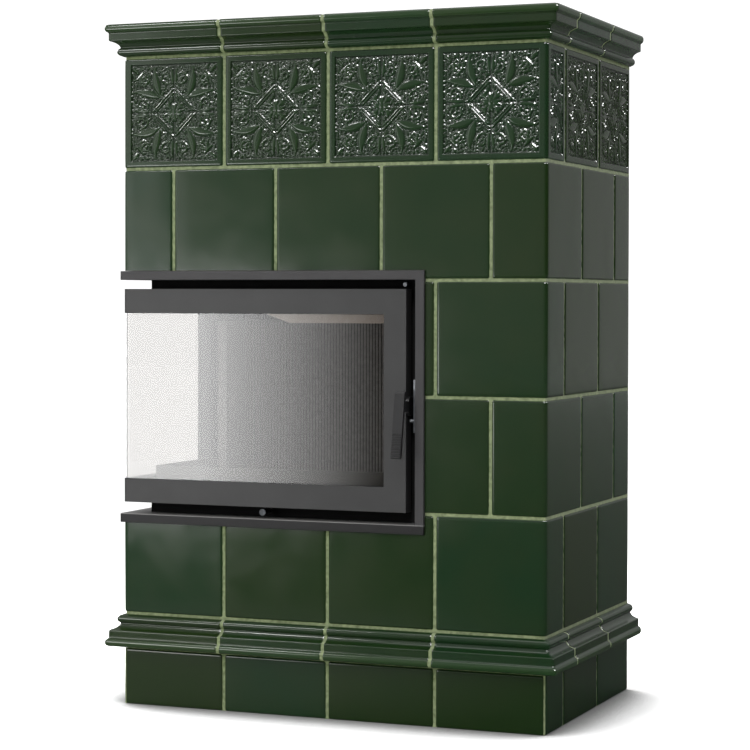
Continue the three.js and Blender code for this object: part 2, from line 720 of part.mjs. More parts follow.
function hingeBarrel(z0, z1) {
  const web = box(
    HINGE.x - BARREL_RADIUS / 2,
    HINGE.x + BARREL_RADIUS / 2,
    DOOR.y1 - 1,
    HINGE.y,
    z0,
    z1,
  );
  return upright(disc(HINGE.x, HINGE.y, BARREL_RADIUS), z0, z1).add(web);
}

function doorFrame() {
  const inner = DOOR_DEPTH - DOOR_PROUD;
  const rail = (z0, z1) =>
    upright(cornerStrip(-DOOR_PROUD, inner, DOOR.x1, DOOR.y1, DOOR_CORNER), z0, z1);
  const bore = upright(disc(HINGE.x, HINGE.y, PIN_RADIUS + FIT), DOOR.z0 - 1, DOOR.z1 + 1);
  const spindleBore = alongX(
    disc(HUB.y, HUB.z, SPINDLE_RADIUS + FIT),
    DOOR.x1 - SPINDLE_LENGTH - FIT,
    DOOR.x1 + 1,
  );
  return joined(
    rail(DOOR.z0, WINDOW.z0),
    rail(WINDOW.z1, DOOR.z1),
    box(DOOR.x1 - STILE, DOOR.x1, DOOR.y0, FRONT + inner, DOOR.z0, DOOR.z1),
    box(DOOR.x0, LEFT + inner, DOOR.y1 - STILE, DOOR.y1, DOOR.z0, DOOR.z1),
    hingeBarrel(DOOR.z1 - BARREL_LENGTH, DOOR.z1),
    hingeBarrel(DOOR.z0, DOOR.z0 + BARREL_LENGTH),
  )
    .subtract(bore)
    .subtract(frontGlass(FIT))
    .subtract(sideGlass(FIT))
    .subtract(spindleBore);
}

// Sealing rope on the door's inner face, all round the two windows.
function doorSeal() {
  const inner = DOOR_DEPTH - DOOR_PROUD;
  const outer = inner + SEAL - FIT;
  const x1 = DOOR.x1 - STILE + SEAL_LAP + SEAL;
  const y1 = DOOR.y1 - STILE + SEAL_LAP + SEAL;
  const z0 = WINDOW.z0 - SEAL_LAP - SEAL;
  const z1 = WINDOW.z1 + SEAL_LAP + SEAL;
  const run = (low, high) => upright(cornerStrip(inner, outer, x1, y1, FOLD), low, high);
  return joined(
    run(z0, z0 + SEAL),
    run(z1 - SEAL, z1),
    box(x1 - SEAL, x1, FRONT + inner, FRONT + outer, z0, z1),
    box(LEFT + inner, LEFT + outer, y1 - SEAL, y1, z0, z1),
  );
}

// A bracket on the casing's side, with the pin that the door's barrel turns on.
function hingeBracket(z0, z1, pinFrom, pinTo) {
  const half = BRACKET_WIDTH / 2;
  const plate = box(HINGE.x - half, CASING.x0, HINGE.y - half, HINGE.y + half, z0, z1);
  return plate.add(upright(disc(HINGE.x, HINGE.y, PIN_RADIUS), pinFrom, pinTo));
}

// The handle in side view: a leaning bar, a lug that meets the hub, and ribs on the lower grip.
function doorHandle() {
  const x0 = HUB.x + HUB_THICK - HANDLE_WIDTH;
  const x1 = HUB.x + HUB_THICK;
  const lean = (HANDLE_PROUD_BOTTOM - HANDLE_PROUD_TOP) / HANDLE_LENGTH;
  const face = (z) => DOOR.y0 - HANDLE_PROUD_TOP - lean * (HANDLE_TOP - z);
  const bottom = HANDLE_TOP - HANDLE_LENGTH;
  const round = HANDLE_THICK / 2;
  const bar = new THREE.Shape();
  bar.moveTo(face(bottom + round), bottom + round);
  bar.quadraticCurveTo(face(bottom), bottom, face(bottom) + round, bottom);
  bar.quadraticCurveTo(
    face(bottom) + HANDLE_THICK,
    bottom,
    face(bottom + round) + HANDLE_THICK,
    bottom + round,
  );
  bar.lineTo(face(HANDLE_TOP - round) + HANDLE_THICK, HANDLE_TOP - round);
  bar.quadraticCurveTo(
    face(HANDLE_TOP) + HANDLE_THICK,
    HANDLE_TOP,
    face(HANDLE_TOP) + round,
    HANDLE_TOP,
  );
  bar.quadraticCurveTo(face(HANDLE_TOP), HANDLE_TOP, face(HANDLE_TOP - round), HANDLE_TOP - round);
  const ribs = Array.from({ length: GRIP_RIBS }, (_, i) => {
    const z = bottom + round + GRIP_PITCH * (i + 0.5);
    const y = face(z);
    const rib = polygon(
      [y - GRIP_RIB, z - RIB_CREST / 2],
      [y + GRIP_RIB, z - RIB_FOOT / 2],
      [y + GRIP_RIB, z + RIB_FOOT / 2],
      [y - GRIP_RIB, z + RIB_CREST / 2],
    );
    return alongX(rib, x0 + 1, x1 - 1);
  });
  const lug = box(
    HUB.x,
    x1,
    face(HUB.z) + HANDLE_THICK / 2,
    HUB.y - HUB_FLAT,
    HUB.z - HANDLE_LUG / 2,
    HUB.z + HANDLE_LUG / 2,
  );
  return joined(alongX(bar, x0, x1), lug, ribs);
}

function latchHub() {
  const flat = box(
    HUB.x - 1,
    HUB.x + HUB_THICK + 1,
    HUB.y - HUB_RADIUS - 1,
    HUB.y - HUB_FLAT,
    HUB.z - HUB_RADIUS,
    HUB.z + HUB_RADIUS,
  );
  const wheel = alongX(disc(HUB.y, HUB.z, HUB_RADIUS, 24), HUB.x, HUB.x + HUB_THICK);
  const spindle = alongX(disc(HUB.y, HUB.z, SPINDLE_RADIUS), DOOR.x1 - SPINDLE_LENGTH, HUB.x + 1);
  return wheel.subtract(flat).add(spindle);
}

// Plate on the trim's inner face, with the pin that the latch draws against.
function keeper() {
  const x1 = TRIM_RIGHT - TRIM_FACE;
  const half = KEEPER_WIDTH / 2;
  const reach = KEEPER_LENGTH / 2;
  const plate = box(x1 - KEEPER_THICK, x1, HUB.y - half, HUB.y + half, HUB.z - reach, HUB.z + reach);
  const pinStart = x1 - KEEPER_THICK - KEEPER_PIN_LENGTH;
  const pin = disc(HUB.y, HUB.z - KEEPER_PIN_BELOW_HUB, KEEPER_PIN_RADIUS);
  return plate.add(alongX(pin, pinStart, x1 - KEEPER_THICK + 1));
}

// ---- Inside the insert --------------------------------------------------------------------------
const HEARTH_TOP = HEARTH_LEVEL + HEARTH;
const GRATE = {
  x0: FLUE_X - GRATE_LENGTH / 2,
  x1: FLUE_X + GRATE_LENGTH / 2,
  y0: FLUE_Y - GRATE_WIDTH / 2,
  y1: FLUE_Y + GRATE_WIDTH / 2,
};
const grateBox = (grow, z0, z1) =>
  box(GRATE.x0 - grow, GRATE.x1 + grow, GRATE.y0 - grow, GRATE.y1 + grow, z0, z1);

function hearthFloor() {
  return casingBox(SHEET, HEARTH_LEVEL, HEARTH_TOP)
    .subtract(grateBox(FIT, HEARTH_TOP - GRATE_THICK, HEARTH_TOP + 1))
    .subtract(grateBox(-GRATE_LEDGE, HEARTH_LEVEL - 1, HEARTH_TOP));
}

function grate() {
  const span = GRATE_LENGTH - 2 * GRATE_BORDER;
  const step = (span - GRATE_SLOT) / (GRATE_SLOTS - 1);
  let plate = grateBox(0, HEARTH_TOP - GRATE_THICK, HEARTH_TOP);
  for (let i = 0; i < GRATE_SLOTS; i += 1) {
    const x = GRATE.x0 + GRATE_BORDER + i * step;
    plate = plate.subtract(
      box(
        x,
        x + GRATE_SLOT,
        GRATE.y0 + GRATE_BORDER,
        GRATE.y1 - GRATE_BORDER,
        HEARTH_LEVEL,
        HEARTH_TOP + 1,
      ),
    );
  }
  return plate;
}

function ashPan() {
  const floor = INSERT_BOTTOM + SHEET;
  const top = rodPlace().z - DAMPER_DROP - PAN_TO_DAMPER;
  return grateBox(ASH_PAN_MARGIN, floor, top).subtract(
    grateBox(ASH_PAN_MARGIN - ASH_PAN_WALL, floor + ASH_PAN_WALL, top + 1),
  );
}

// The back lining's face is cut by upright grooves, one rib pitch apart.
function backLining() {
  const x0 = CASING.x0 + SHEET;
  const x1 = CASING.x1 - SHEET;
  const face = CASING.y1 - SHEET - LINING;
  const count = Math.floor((x1 - x0) / LINING_RIB);
  const first = (x0 + x1) / 2 - ((count - 1) * LINING_RIB) / 2;
  const outline = [[x0, CASING.y1 - SHEET], [x0, face]];
  for (let i = 0; i < count; i += 1) {
    const x = first + i * LINING_RIB;
    outline.push(
      [x - LINING_GROOVE / 2, face],
      [x, face + LINING_GROOVE],
      [x + LINING_GROOVE / 2, face],
    );
  }
  outline.push([x1, face], [x1, CASING.y1 - SHEET]);
  return upright(polygon(...outline), HEARTH_TOP, LINING_TOP);
}

function baffle() {
  const x1 = CASING.x1 - SHEET;
  const low = LEFT + BAFFLE_LEFT;
  const section = polygon(
    [low, LINING_TOP],
    [x1, LINING_TOP],
    [x1, LINING_TOP + BAFFLE],
    [low - BAFFLE_BEVEL, LINING_TOP + BAFFLE],
  );
  return alongY(section, FRONT + BAFFLE_FRONT, CASING.y1 - SHEET);
}

function rodPlace() {
  return { x: LEFT + ROD_FROM_LEFT, y0: FRONT + ROD_TIP_INSET, z: DOOR.z0 - ROD_BELOW_DOOR };
}

// Knob, rod and the damper plate that slides over the air inlet inside the base.
function airControl() {
  const { x, y0, z } = rodPlace();
  const end = y0 + ROD_LENGTH;
  return joined(
    alongY(disc(x, z, KNOB_RADIUS), y0, y0 + KNOB_LENGTH),
    alongY(disc(x, z, ROD_RADIUS), y0 + KNOB_LENGTH - 1, end),
    box(x - DAMPER / 2, x + DAMPER / 2, end - DAMPER_PLATE, end, z - DAMPER_DROP, z + DAMPER_RISE),
  );
}

// ---- Flue ---------------------------------------------------------------------------------------
function ringSolid(profile) {
  const points = profile.map(([r, z]) => new THREE.Vector2(r, z));
  const geometry = new THREE.LatheGeometry([...points, points[0].clone()], FLUE_SIDES);
  return solid(placed(geometry, (x, y, z) => [FLUE_X + x, FLUE_Y - z, y]));
}

function smokeHood() {
  const z0 = FIREBOX_TOP + TOP_BOX_HEIGHT;
  const z1 = z0 + HOOD_HEIGHT;
  return ringSolid([
    [HOOD_RADIUS - FLUE_WALL, z0],
    [HOOD_RADIUS, z0],
    [FLUE_RADIUS, z1],
    [FLUE_RADIUS - FLUE_WALL, z1],
  ]);
}

function fluePipe() {
  const z0 = FIREBOX_TOP + TOP_BOX_HEIGHT + HOOD_HEIGHT;
  const z1 = TOP - FLUE_BELOW_TOP;
  return ringSolid([
    [FLUE_RADIUS - FLUE_WALL, z0],
    [FLUE_RADIUS, z0],
    [FLUE_RADIUS, z1],
    [FLUE_RADIUS - FLUE_WALL, z1],
  ]);
}

// A trestle of two legs and a cross bar, one under each end of the insert.
function insertStand(x) {
  const y = [CASING.y0 + LEG_INSET, CASING.y1 - LEG_INSET];
  return joined(
    box(x, x + LEG, y[0], y[0] + LEG, SLAB, INSERT_BOTTOM),
    box(x, x + LEG, y[1] - LEG, y[1], SLAB, INSERT_BOTTOM),
    box(x, x + LEG, ...y, SLAB + CROSS_BAR_HEIGHT, SLAB + CROSS_BAR_HEIGHT + LEG),
  );
}

// ---- The object ---------------------------------------------------------------------------------
const stove = new THREE.Group();
const shell = new THREE.Group();
const insert = new THREE.Group();
const door = new THREE.Group();
stove.add(shell, insert);
insert.add(door);

function part(group, name, shape, material) {
  const mesh = new THREE.Mesh(geometryOf(shape), material);
  mesh.name = name;
  group.add(mesh);
}

const SIDES = { front: 0, right: 1, left: -1 };
const cornice = corniceOutline();
for (const [where, side] of Object.entries(SIDES)) {
  const baseCornice = band(flipped(cornice), BASE_CORNICE, side, MITRE_GAP, JOINT);
  part(shell, `plinth_${where}`, band(plinthOutline(), 0, side, JOINT), greenGlaze);
  part(shell, `base_cornice_${where}`, baseCornice, greenGlaze);
  part(shell, `top_cornice_${where}`, band(cornice, TOP_CORNICE, side, MITRE_GAP, JOINT), greenGlaze);
}
const cutter = trimCutter();
for (let course = 0; course < COURSES; course += 1) {
  const label = course === COURSES - 1 ? 'ornament_course' : `course_${course + 1}`;
  part(shell, `${label}_front`, courseFront(course).subtract(cutter), greenGlaze);
  part(shell, `${label}_right`, courseSide(course, 1), greenGlaze);
  part(shell, `${label}_left`, courseSide(course, -1).subtract(cutter), greenGlaze);
}
part(shell, 'base_slab', box(INNER_LEFT, INNER_RIGHT, INNER_FRONT, INNER_BACK, 0, SLAB), concrete);
part(shell, 'back_panel', box(INNER_LEFT, INNER_RIGHT, INNER_BACK, BACK, 0, TOP), concrete);
const coverTop = TOP - COVER_BELOW_TOP;
const flueHole = upright(
  disc(FLUE_X, FLUE_Y, FLUE_RADIUS + FLUE_CLEARANCE, FLUE_SIDES),
  coverTop - COVER - 1,
  coverTop + 1,
);
part(
  shell,
  'top_cover',
  box(INNER_LEFT, INNER_RIGHT, INNER_FRONT, INNER_BACK, coverTop - COVER, coverTop).subtract(flueHole),
  concrete,
);

part(insert, 'trim_frame', trimFrame(), greySteel);
part(insert, 'insert_base', insertBase(), blackSteel);
part(insert, 'insert_top', insertTop(), blackSteel);
const wall = [HEARTH_LEVEL, FIREBOX_TOP];
part(
  insert,
  'insert_back_wall',
  box(CASING.x0 + SHEET, CASING.x1 - SHEET, CASING.y1 - SHEET, CASING.y1, ...wall),
  blackSteel,
);
part(
  insert,
  'insert_left_wall',
  box(CASING.x0, CASING.x0 + SHEET, FRONT + SIDE_OPENING, CASING.y1, ...wall),
  blackSteel,
);
part(
  insert,
  'insert_right_wall',
  box(CASING.x1 - SHEET, CASING.x1, CASING.y0, CASING.y1, ...wall).add(
    box(DOOR.x1 - STILE, CASING.x1, CASING.y0, CASING.y0 + SHEET, ...wall),
  ),
  blackSteel,
);
part(insert, 'hearth_floor', hearthFloor(), fireclay);
part(insert, 'back_lining', backLining(), fireclay);
const liningBack = CASING.y1 - SHEET - LINING;
part(
  insert,
  'right_lining',
  box(
    CASING.x1 - SHEET - LINING,
    CASING.x1 - SHEET,
    CASING.y0 + SHEET,
    liningBack,
    HEARTH_TOP,
    LINING_TOP,
  ),
  fireclay,
);
part(
  insert,
  'left_lining',
  box(
    CASING.x0 + SHEET,
    CASING.x0 + SHEET + LEFT_LINING,
    FRONT + SIDE_OPENING + SHEET,
    liningBack,
    HEARTH_TOP,
    LINING_TOP,
  ),
  fireclay,
);
part(insert, 'baffle', baffle(), fireclay);
part(insert, 'grate', grate(), castIron);
part(insert, 'ash_pan', ashPan(), greySteel);
part(
  insert,
  'log_guard',
  upright(
    cornerStrip(
      GUARD_INSET,
      GUARD_INSET + GUARD,
      CASING.x1 - SHEET - LINING - FIT,
      FRONT + SIDE_OPENING,
      FOLD,
    ),
    HEARTH_TOP,
    GUARD_TOP,
  ),
  greySteel,
);
part(insert, 'smoke_hood', smokeHood(), blackSteel);
part(insert, 'flue_pipe', fluePipe(), blackSteel);
part(insert, 'insert_stand_left', insertStand(CASING.x0 + LEG_INSET), blackSteel);
part(insert, 'insert_stand_right', insertStand(CASING.x1 - LEG_INSET - LEG), blackSteel);
part(insert, 'air_control', airControl(), blackSteel);
part(insert, 'latch_keeper', keeper(), blackSteel);
part(
  insert,
  'casing_screw',
  alongY(
    disc(DOOR.x1 - SCREW_FROM_DOOR_EDGE, DOOR.z1 + SCREW_ABOVE_DOOR, SCREW_RADIUS),
    CASING.y0 - SCREW_LENGTH,
    CASING.y0,
  ),
  greySteel,
);
const upper = DOOR.z1 + BRACKET_GAP;
const lower = DOOR.z0 - BRACKET_GAP;
part(
  insert,
  'upper_hinge_bracket',
  hingeBracket(upper, upper + BRACKET, DOOR.z1 - BARREL_LENGTH, upper + 1),
  blackSteel,
);
part(
  insert,
  'lower_hinge_bracket',
  hingeBracket(lower - BRACKET, lower, lower - 1, DOOR.z0 + BARREL_LENGTH),
  blackSteel,
);

part(door, 'door_frame', doorFrame(), greySteel);
part(door, 'front_glass', frontGlass(), clearGlass);
part(door, 'side_glass', sideGlass(), clearGlass);
part(door, 'door_seal', doorSeal(), rope);
part(door, 'door_handle', doorHandle(), blackSteel);
part(door, 'latch_hub', latchHub(), blackSteel);

export default stove;
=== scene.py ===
# %% [markdown]
# # A tiled stove with a corner fire door
# The object is a shell of glazed stove tiles round a steel fire insert. The CAD model gives every
# piece its size and place. This file gives each one its surface: it rebuilds the tiles, whose
# rounded edges catch the light, and dresses the rest of the CAD nodes in procedural materials.

# %% Load the CAD model
import math

import bpy
import numpy as np
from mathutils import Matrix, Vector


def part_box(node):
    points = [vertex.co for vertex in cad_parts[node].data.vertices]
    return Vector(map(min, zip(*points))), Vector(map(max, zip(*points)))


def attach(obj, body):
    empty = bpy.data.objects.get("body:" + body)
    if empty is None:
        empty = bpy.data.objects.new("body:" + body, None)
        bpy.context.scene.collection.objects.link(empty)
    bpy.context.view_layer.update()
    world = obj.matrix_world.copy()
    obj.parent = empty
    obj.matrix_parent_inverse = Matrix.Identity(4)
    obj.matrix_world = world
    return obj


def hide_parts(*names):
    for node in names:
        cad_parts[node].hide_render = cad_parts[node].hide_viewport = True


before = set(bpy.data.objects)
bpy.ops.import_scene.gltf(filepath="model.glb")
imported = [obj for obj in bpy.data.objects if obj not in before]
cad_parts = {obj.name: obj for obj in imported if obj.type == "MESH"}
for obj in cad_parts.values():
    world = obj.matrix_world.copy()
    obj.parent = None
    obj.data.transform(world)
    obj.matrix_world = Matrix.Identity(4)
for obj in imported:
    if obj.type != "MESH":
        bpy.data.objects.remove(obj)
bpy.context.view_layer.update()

MM = 0.001


# %% [markdown]
# ## Camera
# The photograph was taken with a long lens from a little to the right of the front, at chest
# height. The place and angle were solved from the tile joints, which are straight lines at a
# known pitch.

# %% Camera
YAW = 0.3883
TILT = 0.0186
ROLL = 0.002
PICTURE = 750  # width and height of the picture in pixels
FOCAL = 2275.6  # focal length in pixels
RISE = -35  # how far the picture's middle lies from the lens's axis, in pixels
SENSOR = 36  # mm

camera = bpy.data.objects.new("camera", bpy.data.cameras.new("camera"))
bpy.context.scene.collection.objects.link(camera)
camera.data.sensor_width = SENSOR
camera.data.lens = SENSOR * FOCAL / PICTURE
camera.data.shift_y = RISE / PICTURE
camera.data.clip_end = 60
camera.location = (1.7696, -4.3599, 0.8262)
camera.rotation_euler = (math.pi / 2 - TILT, -ROLL, YAW)
bpy.context.scene.camera = camera
print("lens:", round(camera.data.lens, 1), "mm")


# %% [markdown]
# ## Colours and nodes
# Colours are written as the hex values that a picture editor shows, which are sRGB. Shaders work
# with linear light, so one function turns one into the other. One more adds a node to a tree:
# each input is given a plain value or the socket of another node, which is then linked to it.

# %% Colours and nodes
def linear(hex_colour):
    parts = [int(hex_colour[i : i + 2], 16) / 255 for i in (1, 3, 5)]
    return [p / 12.92 if p <= 0.04045 else ((p + 0.055) / 1.055) ** 2.4 for p in parts] + [1.0]


def add(tree, kind, inputs, **settings):
    made = tree.nodes.new("ShaderNode" + kind)
    for name, value in settings.items():
        setattr(made, name, value)
    for name, value in inputs.items():
        if isinstance(value, bpy.types.NodeSocket):
            tree.links.new(value, made.inputs[name])
        else:
            made.inputs[name].default_value = value
    return made


def new_material(name):
    made = bpy.data.materials.new(name)
    made.use_nodes = True
    made.node_tree.nodes.clear()
    where = add(made.node_tree, "TexCoord", {}).outputs["Object"]
    return made, made.node_tree, where


print("mid grey #808080 is", round(linear("#808080")[0], 3), "in linear light")


# %% [markdown]
# ## Studio
# A white floor and a soft studio. The world is a gradient that is bright behind and to the left
# and dark to the right, because that is what the glaze reflects: the right side of the stove,
# seen at a shallow angle, is greyed by it, and the front is not. To the camera itself the world
# is plain white.

# %% World
world = bpy.data.worlds.new("studio")
world.use_nodes = True
bpy.context.scene.world = world
tree = world.node_tree
tree.nodes.clear()
direction = add(tree, "TexCoord", {}).outputs["Generated"]
BRIGHT_SIDE = (-0.97, 0.22, 0.1)
DARKEST, BRIGHTEST = 0.02, 0.8
toward = add(tree, "VectorMath", {0: direction, 1: BRIGHT_SIDE}, operation="DOT_PRODUCT")
inputs = {"Value": toward.outputs["Value"], "From Min": -0.9, "From Max": 1}
glow = add(tree, "MapRange", inputs | {"To Min": DARKEST, "To Max": BRIGHTEST})
seen = add(tree, "LightPath", {}).outputs["Is Camera Ray"]
studio = add(tree, "Background", {"Strength": glow.outputs["Result"]})
plain = add(tree, "Background", {"Color": (1, 1, 1, 1), "Strength": 1.15})
either = add(tree, "MixShader", {0: seen, 1: studio.outputs[0], 2: plain.outputs[0]})
add(tree, "OutputWorld", {"Surface": either.outputs[0]})
bpy.context.scene.view_settings.view_transform = "Standard"
print("world nodes:", len(tree.nodes))


# %% [markdown]
# ## Floor
# In a catalogue picture the floor is so bright that only the shade right under the object is
# left. A diffuse material as white as real paper would be grey here, so what the camera sees is
# lifted over white in the open, and darkened near the plinth by how little open sky a point has.
# The glaze must not mirror such a bright floor: to gloss it is dark grey, a little lighter to the
# left front and far away.

# %% Floor
paper, tree, where = new_material("matt_white_paper")
rays = add(tree, "LightPath", {})
away = add(tree, "VectorMath", {0: where}, operation="LENGTH").outputs["Value"]
lift = add(
    tree,
    "MapRange",
    {"Value": away, "From Min": 1.2, "From Max": 3, "To Min": 1.7, "To Max": 1.0},
)
open_sky = add(tree, "AmbientOcclusion", {"Distance": 0.26}, samples=12).outputs["AO"]
shade = add(
    tree,
    "MapRange",
    {"Value": open_sky, "From Min": 0.5, "From Max": 0.9, "To Min": 0.3, "To Max": lift.outputs[0]},
)
LEFT_FRONT = (-0.9, -0.7, 0)
ahead = add(tree, "VectorMath", {0: where, 1: LEFT_FRONT}, operation="DISTANCE").outputs["Value"]
near = add(
    tree,
    "MapRange",
    {"Value": ahead, "From Min": 0.8, "From Max": 1.4, "To Min": 0.24, "To Max": 0},
)
far = add(
    tree,
    "MapRange",
    {"Value": away, "From Min": 1, "From Max": 20, "To Min": 0.06, "To Max": 0.27},
)
grey = add(tree, "Math", {0: near.outputs[0], 1: far.outputs[0]}, operation="MAXIMUM")
white = add(tree, "BsdfDiffuse", {"Color": linear("#e8e8e8")}).outputs[0]
bright = add(tree, "BsdfDiffuse", {"Color": shade.outputs[0]}).outputs[0]
dim = add(tree, "BsdfDiffuse", {"Color": grey.outputs[0]}).outputs[0]
plain = add(tree, "MixShader", {0: rays.outputs["Is Glossy Ray"], 1: white, 2: dim}).outputs[0]
both = add(tree, "MixShader", {0: rays.outputs["Is Camera Ray"], 1: plain, 2: bright})
add(tree, "OutputMaterial", {"Surface": both.outputs[0]})
FLOOR_SIZE = 40  # m
bpy.ops.mesh.primitive_plane_add(size=FLOOR_SIZE)
floor = bpy.context.object
floor.name = "floor"
floor.data.materials.append(paper)
print("floor nodes:", len(tree.nodes))


# %% [markdown]
# ## Lights
# Wide, weak lamps light the body softly. The glaze needs something else: small bright lamps that
# it can mirror, for the sparkle of the relief and of the round edges. Those are seen only in
# gloss, so that they do not lighten the matt pieces. Two suns, as wide as the sky and a window,
# even out the rest.

# %% Lights
def soft_light(name, place, target, size, power, in_gloss):
    lamp = bpy.data.lights.new(name, "AREA")
    lamp.shape = "RECTANGLE"
    lamp.size, lamp.size_y = size
    lamp.energy = power
    made = bpy.data.objects.new(name, lamp)
    bpy.context.scene.collection.objects.link(made)
    made.location = place
    x, y, z = np.array(target) - np.array(place)
    made.rotation_euler = (math.atan2(math.hypot(x, y), -z), 0, math.atan2(y, x) - math.pi / 2)
    made.visible_glossy = in_gloss
    made.visible_camera = False
    return made


soft_light("overhead", (0, -0.4, 4.2), (0, 0, 0), (3.0, 3.0), 40, True)
soft_light("left_window", (-2.6, 0.1, 0.8), (0, 0, 0.7), (2.4, 1.6), 40, False)
left_panel = soft_light("left_panel", (-3.3, -3.7, 2.0), (0, 0, 0.9), (2.2, 2.2), 16, True)
left_panel.visible_diffuse = False
for name, place, width, power in (
    ("sparkle_above", (-2.4, -3.2, 4.2), 0.5, 28),
    ("sparkle_front", (1.2, -4.0, 4.4), 1.2, 420),
    ("sparkle_right", (3.4, -2.4, 4.2), 1.0, 330),
    ("sparkle_left", (-4.2, -1.2, 3.8), 1.0, 140),
    ("sparkle_side", (4.6, 1.6, 3.6), 1.3, 360),
):
    sparkle = soft_light(name, place, (0, 0, 1.0), (width, width), power, True)
    sparkle.visible_diffuse = False

for name, turn, strength, softness in (
    ("sky", (0.1, 0.0, -0.3), 2.4, 140),
    ("front_fill", (1.15, 0.0, -0.25), 0.8, 60),
):
    lamp = bpy.data.lights.new(name, "SUN")
    lamp.energy = strength
    lamp.angle = math.radians(softness)
    made = bpy.data.objects.new(name, lamp)
    made.rotation_euler = turn
    made.visible_glossy = False
    bpy.context.scene.collection.objects.link(made)
print("lights:", len(bpy.data.lights))


# %% [markdown]
# ## Soft panel
# A soft panel stands to the left of the camera, where the front window mirrors it. Its light
# fades to the right, which lays the pale veil over the left half of the window. It is a flat mesh
# that gives light, because a lamp's light can't fade across it. Only gloss sees it.

# %% Soft panel for the window
LEFT_END, RIGHT_END = -2.75, -1.25
BOTTOM, TOP = 0.14, 0.77
PANEL_PLACE = -3.7
POWER = 12.5
veil, tree, where = new_material("soft_panel_light")
across = add(tree, "SeparateXYZ", {"Vector": where}).outputs["X"]
fade = add(
    tree,
    "MapRange",
    {"Value": across, "From Min": -2.0, "From Max": -1.27, "To Min": 1.0, "To Max": 0},
)
curved = add(tree, "Math", {0: fade.outputs[0], 1: 1.35}, operation="POWER")
power = add(tree, "Math", {0: curved.outputs[0], 1: POWER}, operation="MULTIPLY")
emitted = add(tree, "Emission", {"Strength": power.outputs[0]})
add(tree, "OutputMaterial", {"Surface": emitted.outputs[0]})
data = bpy.data.meshes.new("soft_panel")
corners = [(LEFT_END, BOTTOM), (LEFT_END, TOP), (RIGHT_END, TOP), (RIGHT_END, BOTTOM)]
data.from_pydata([(x, PANEL_PLACE, z) for x, z in corners], [], [(0, 1, 2, 3)])
data.materials.append(veil)
panel = bpy.data.objects.new("soft_panel", data)
bpy.context.scene.collection.objects.link(panel)
for ray in ("camera", "diffuse", "shadow", "transmission"):
    setattr(panel, "visible_" + ray, False)
print("soft panel:", RIGHT_END - LEFT_END, "m wide")


# %% [markdown]
# ## Green lead glaze
# Stove tiles are pressed from fireclay, fired once, dipped in a green glaze and fired again. The
# glaze is glass, so its IOR is near 1.5. It lies a little wavy. Where it is thin, on the edges and
# on the relief, the clay shows through and lightens it, and that lighter colour is partly a painted
# highlight. Where it pools in the ground of the relief it darkens, partly as painted shade. Each
# tile comes from the kiln with its own tone. The meshes carry `tone` and `thin` for each point, and
# the material reads them.

# %% Glaze
glaze, tree, where = new_material("green_lead_glaze")
tone = add(tree, "Attribute", {}, attribute_name="tone").outputs["Fac"]
thin = add(tree, "Attribute", {}, attribute_name="thin").outputs["Fac"]
kiln = add(tree, "Mix", {0: tone, 6: linear("#18290b"), 7: linear("#142d18")}, data_type="RGBA")
cloud = add(tree, "TexNoise", {"Vector": where, "Scale": 1 / (90 * MM), "Detail": 3.0})
amount = add(
    tree,
    "MapRange",
    {"Value": cloud.outputs[0], "From Min": 0.35, "From Max": 0.7, "To Max": 0.35},
).outputs[0]
inputs = {0: amount, 6: kiln.outputs[2], 7: linear("#1d2b09")}
warm = add(tree, "Mix", inputs, data_type="RGBA")
# Where the glaze pools it darkens: pooled glaze and, in part, painted shade.
pooled_and_shaded = add(tree, "MapRange", {"Value": thin, "From Min": 0, "From Max": -1}).outputs[0]
inputs = {0: pooled_and_shaded, 6: warm.outputs[2], 7: linear("#071206")}
deep = add(tree, "Mix", inputs, data_type="RGBA")
# Where the glaze is thin it lightens: thin glaze and, in part, a painted highlight.
thin_and_highlit = add(tree, "Mix", {0: thin, 6: deep.outputs[2], 7: linear("#36502a")}, data_type="RGBA")
# The glaze lies in waves some 70 mm long and half a millimetre high, with a fine orange peel.
waves = add(tree, "TexNoise", {"Vector": where, "Scale": 1 / (70 * MM), "Detail": 1.0})
peel = add(tree, "TexNoise", {"Vector": where, "Scale": 1 / (9 * MM), "Detail": 1.0})
wavy = add(tree, "Bump", {"Height": waves.outputs[0], "Distance": 0.5 * MM})
inputs = {"Height": peel.outputs[0], "Distance": 0.02 * MM, "Normal": wavy.outputs[0]}
peeled = add(tree, "Bump", inputs)
shine = add(tree, "MapRange", {"Value": cloud.outputs[0], "To Min": 0.08, "To Max": 0.22})
inputs = {"Base Color": thin_and_highlit.outputs[2], "Roughness": shine.outputs[0]}
inputs |= {"Normal": peeled.outputs[0], "IOR": 1.52}
surface = add(tree, "BsdfPrincipled", inputs)
add(tree, "OutputMaterial", {"Surface": surface.outputs[0]})
print("glaze nodes:", len(tree.nodes))


# %% [markdown]
# ## Matt materials
# Clay, grout, boards, cast iron and paint differ in colour, in grain and in how rough they are,
# so one function makes them from those numbers. The grain is the size of the real sand, flake or
# paint texture.

# %% Matt materials
def grained(
    name, dark, light, patch_mm, grain_mm, depth_mm, roughness, metallic=0.0, specular=0.5
):
    made, tree, where = new_material(name)
    patch = add(tree, "TexNoise", {"Vector": where, "Scale": 1 / (patch_mm * MM), "Detail": 5.0})
    grain = add(tree, "TexNoise", {"Vector": where, "Scale": 1 / (grain_mm * MM), "Detail": 3.0})
    spread = add(tree, "MapRange", {"Value": patch.outputs[0], "From Min": 0.3, "From Max": 0.7})
    inputs = {0: spread.outputs[0], 6: linear(dark), 7: linear(light)}
    colour = add(tree, "Mix", inputs, data_type="RGBA")
    bump = add(tree, "Bump", {"Height": grain.outputs[0], "Distance": depth_mm * MM})
    inputs = {"Base Color": colour.outputs[2], "Normal": bump.outputs[0]}
    inputs |= {"Roughness": roughness, "Metallic": metallic, "Specular IOR Level": specular}
    surface = add(tree, "BsdfPrincipled", inputs)
    add(tree, "OutputMaterial", {"Surface": surface.outputs[0]})
    return made


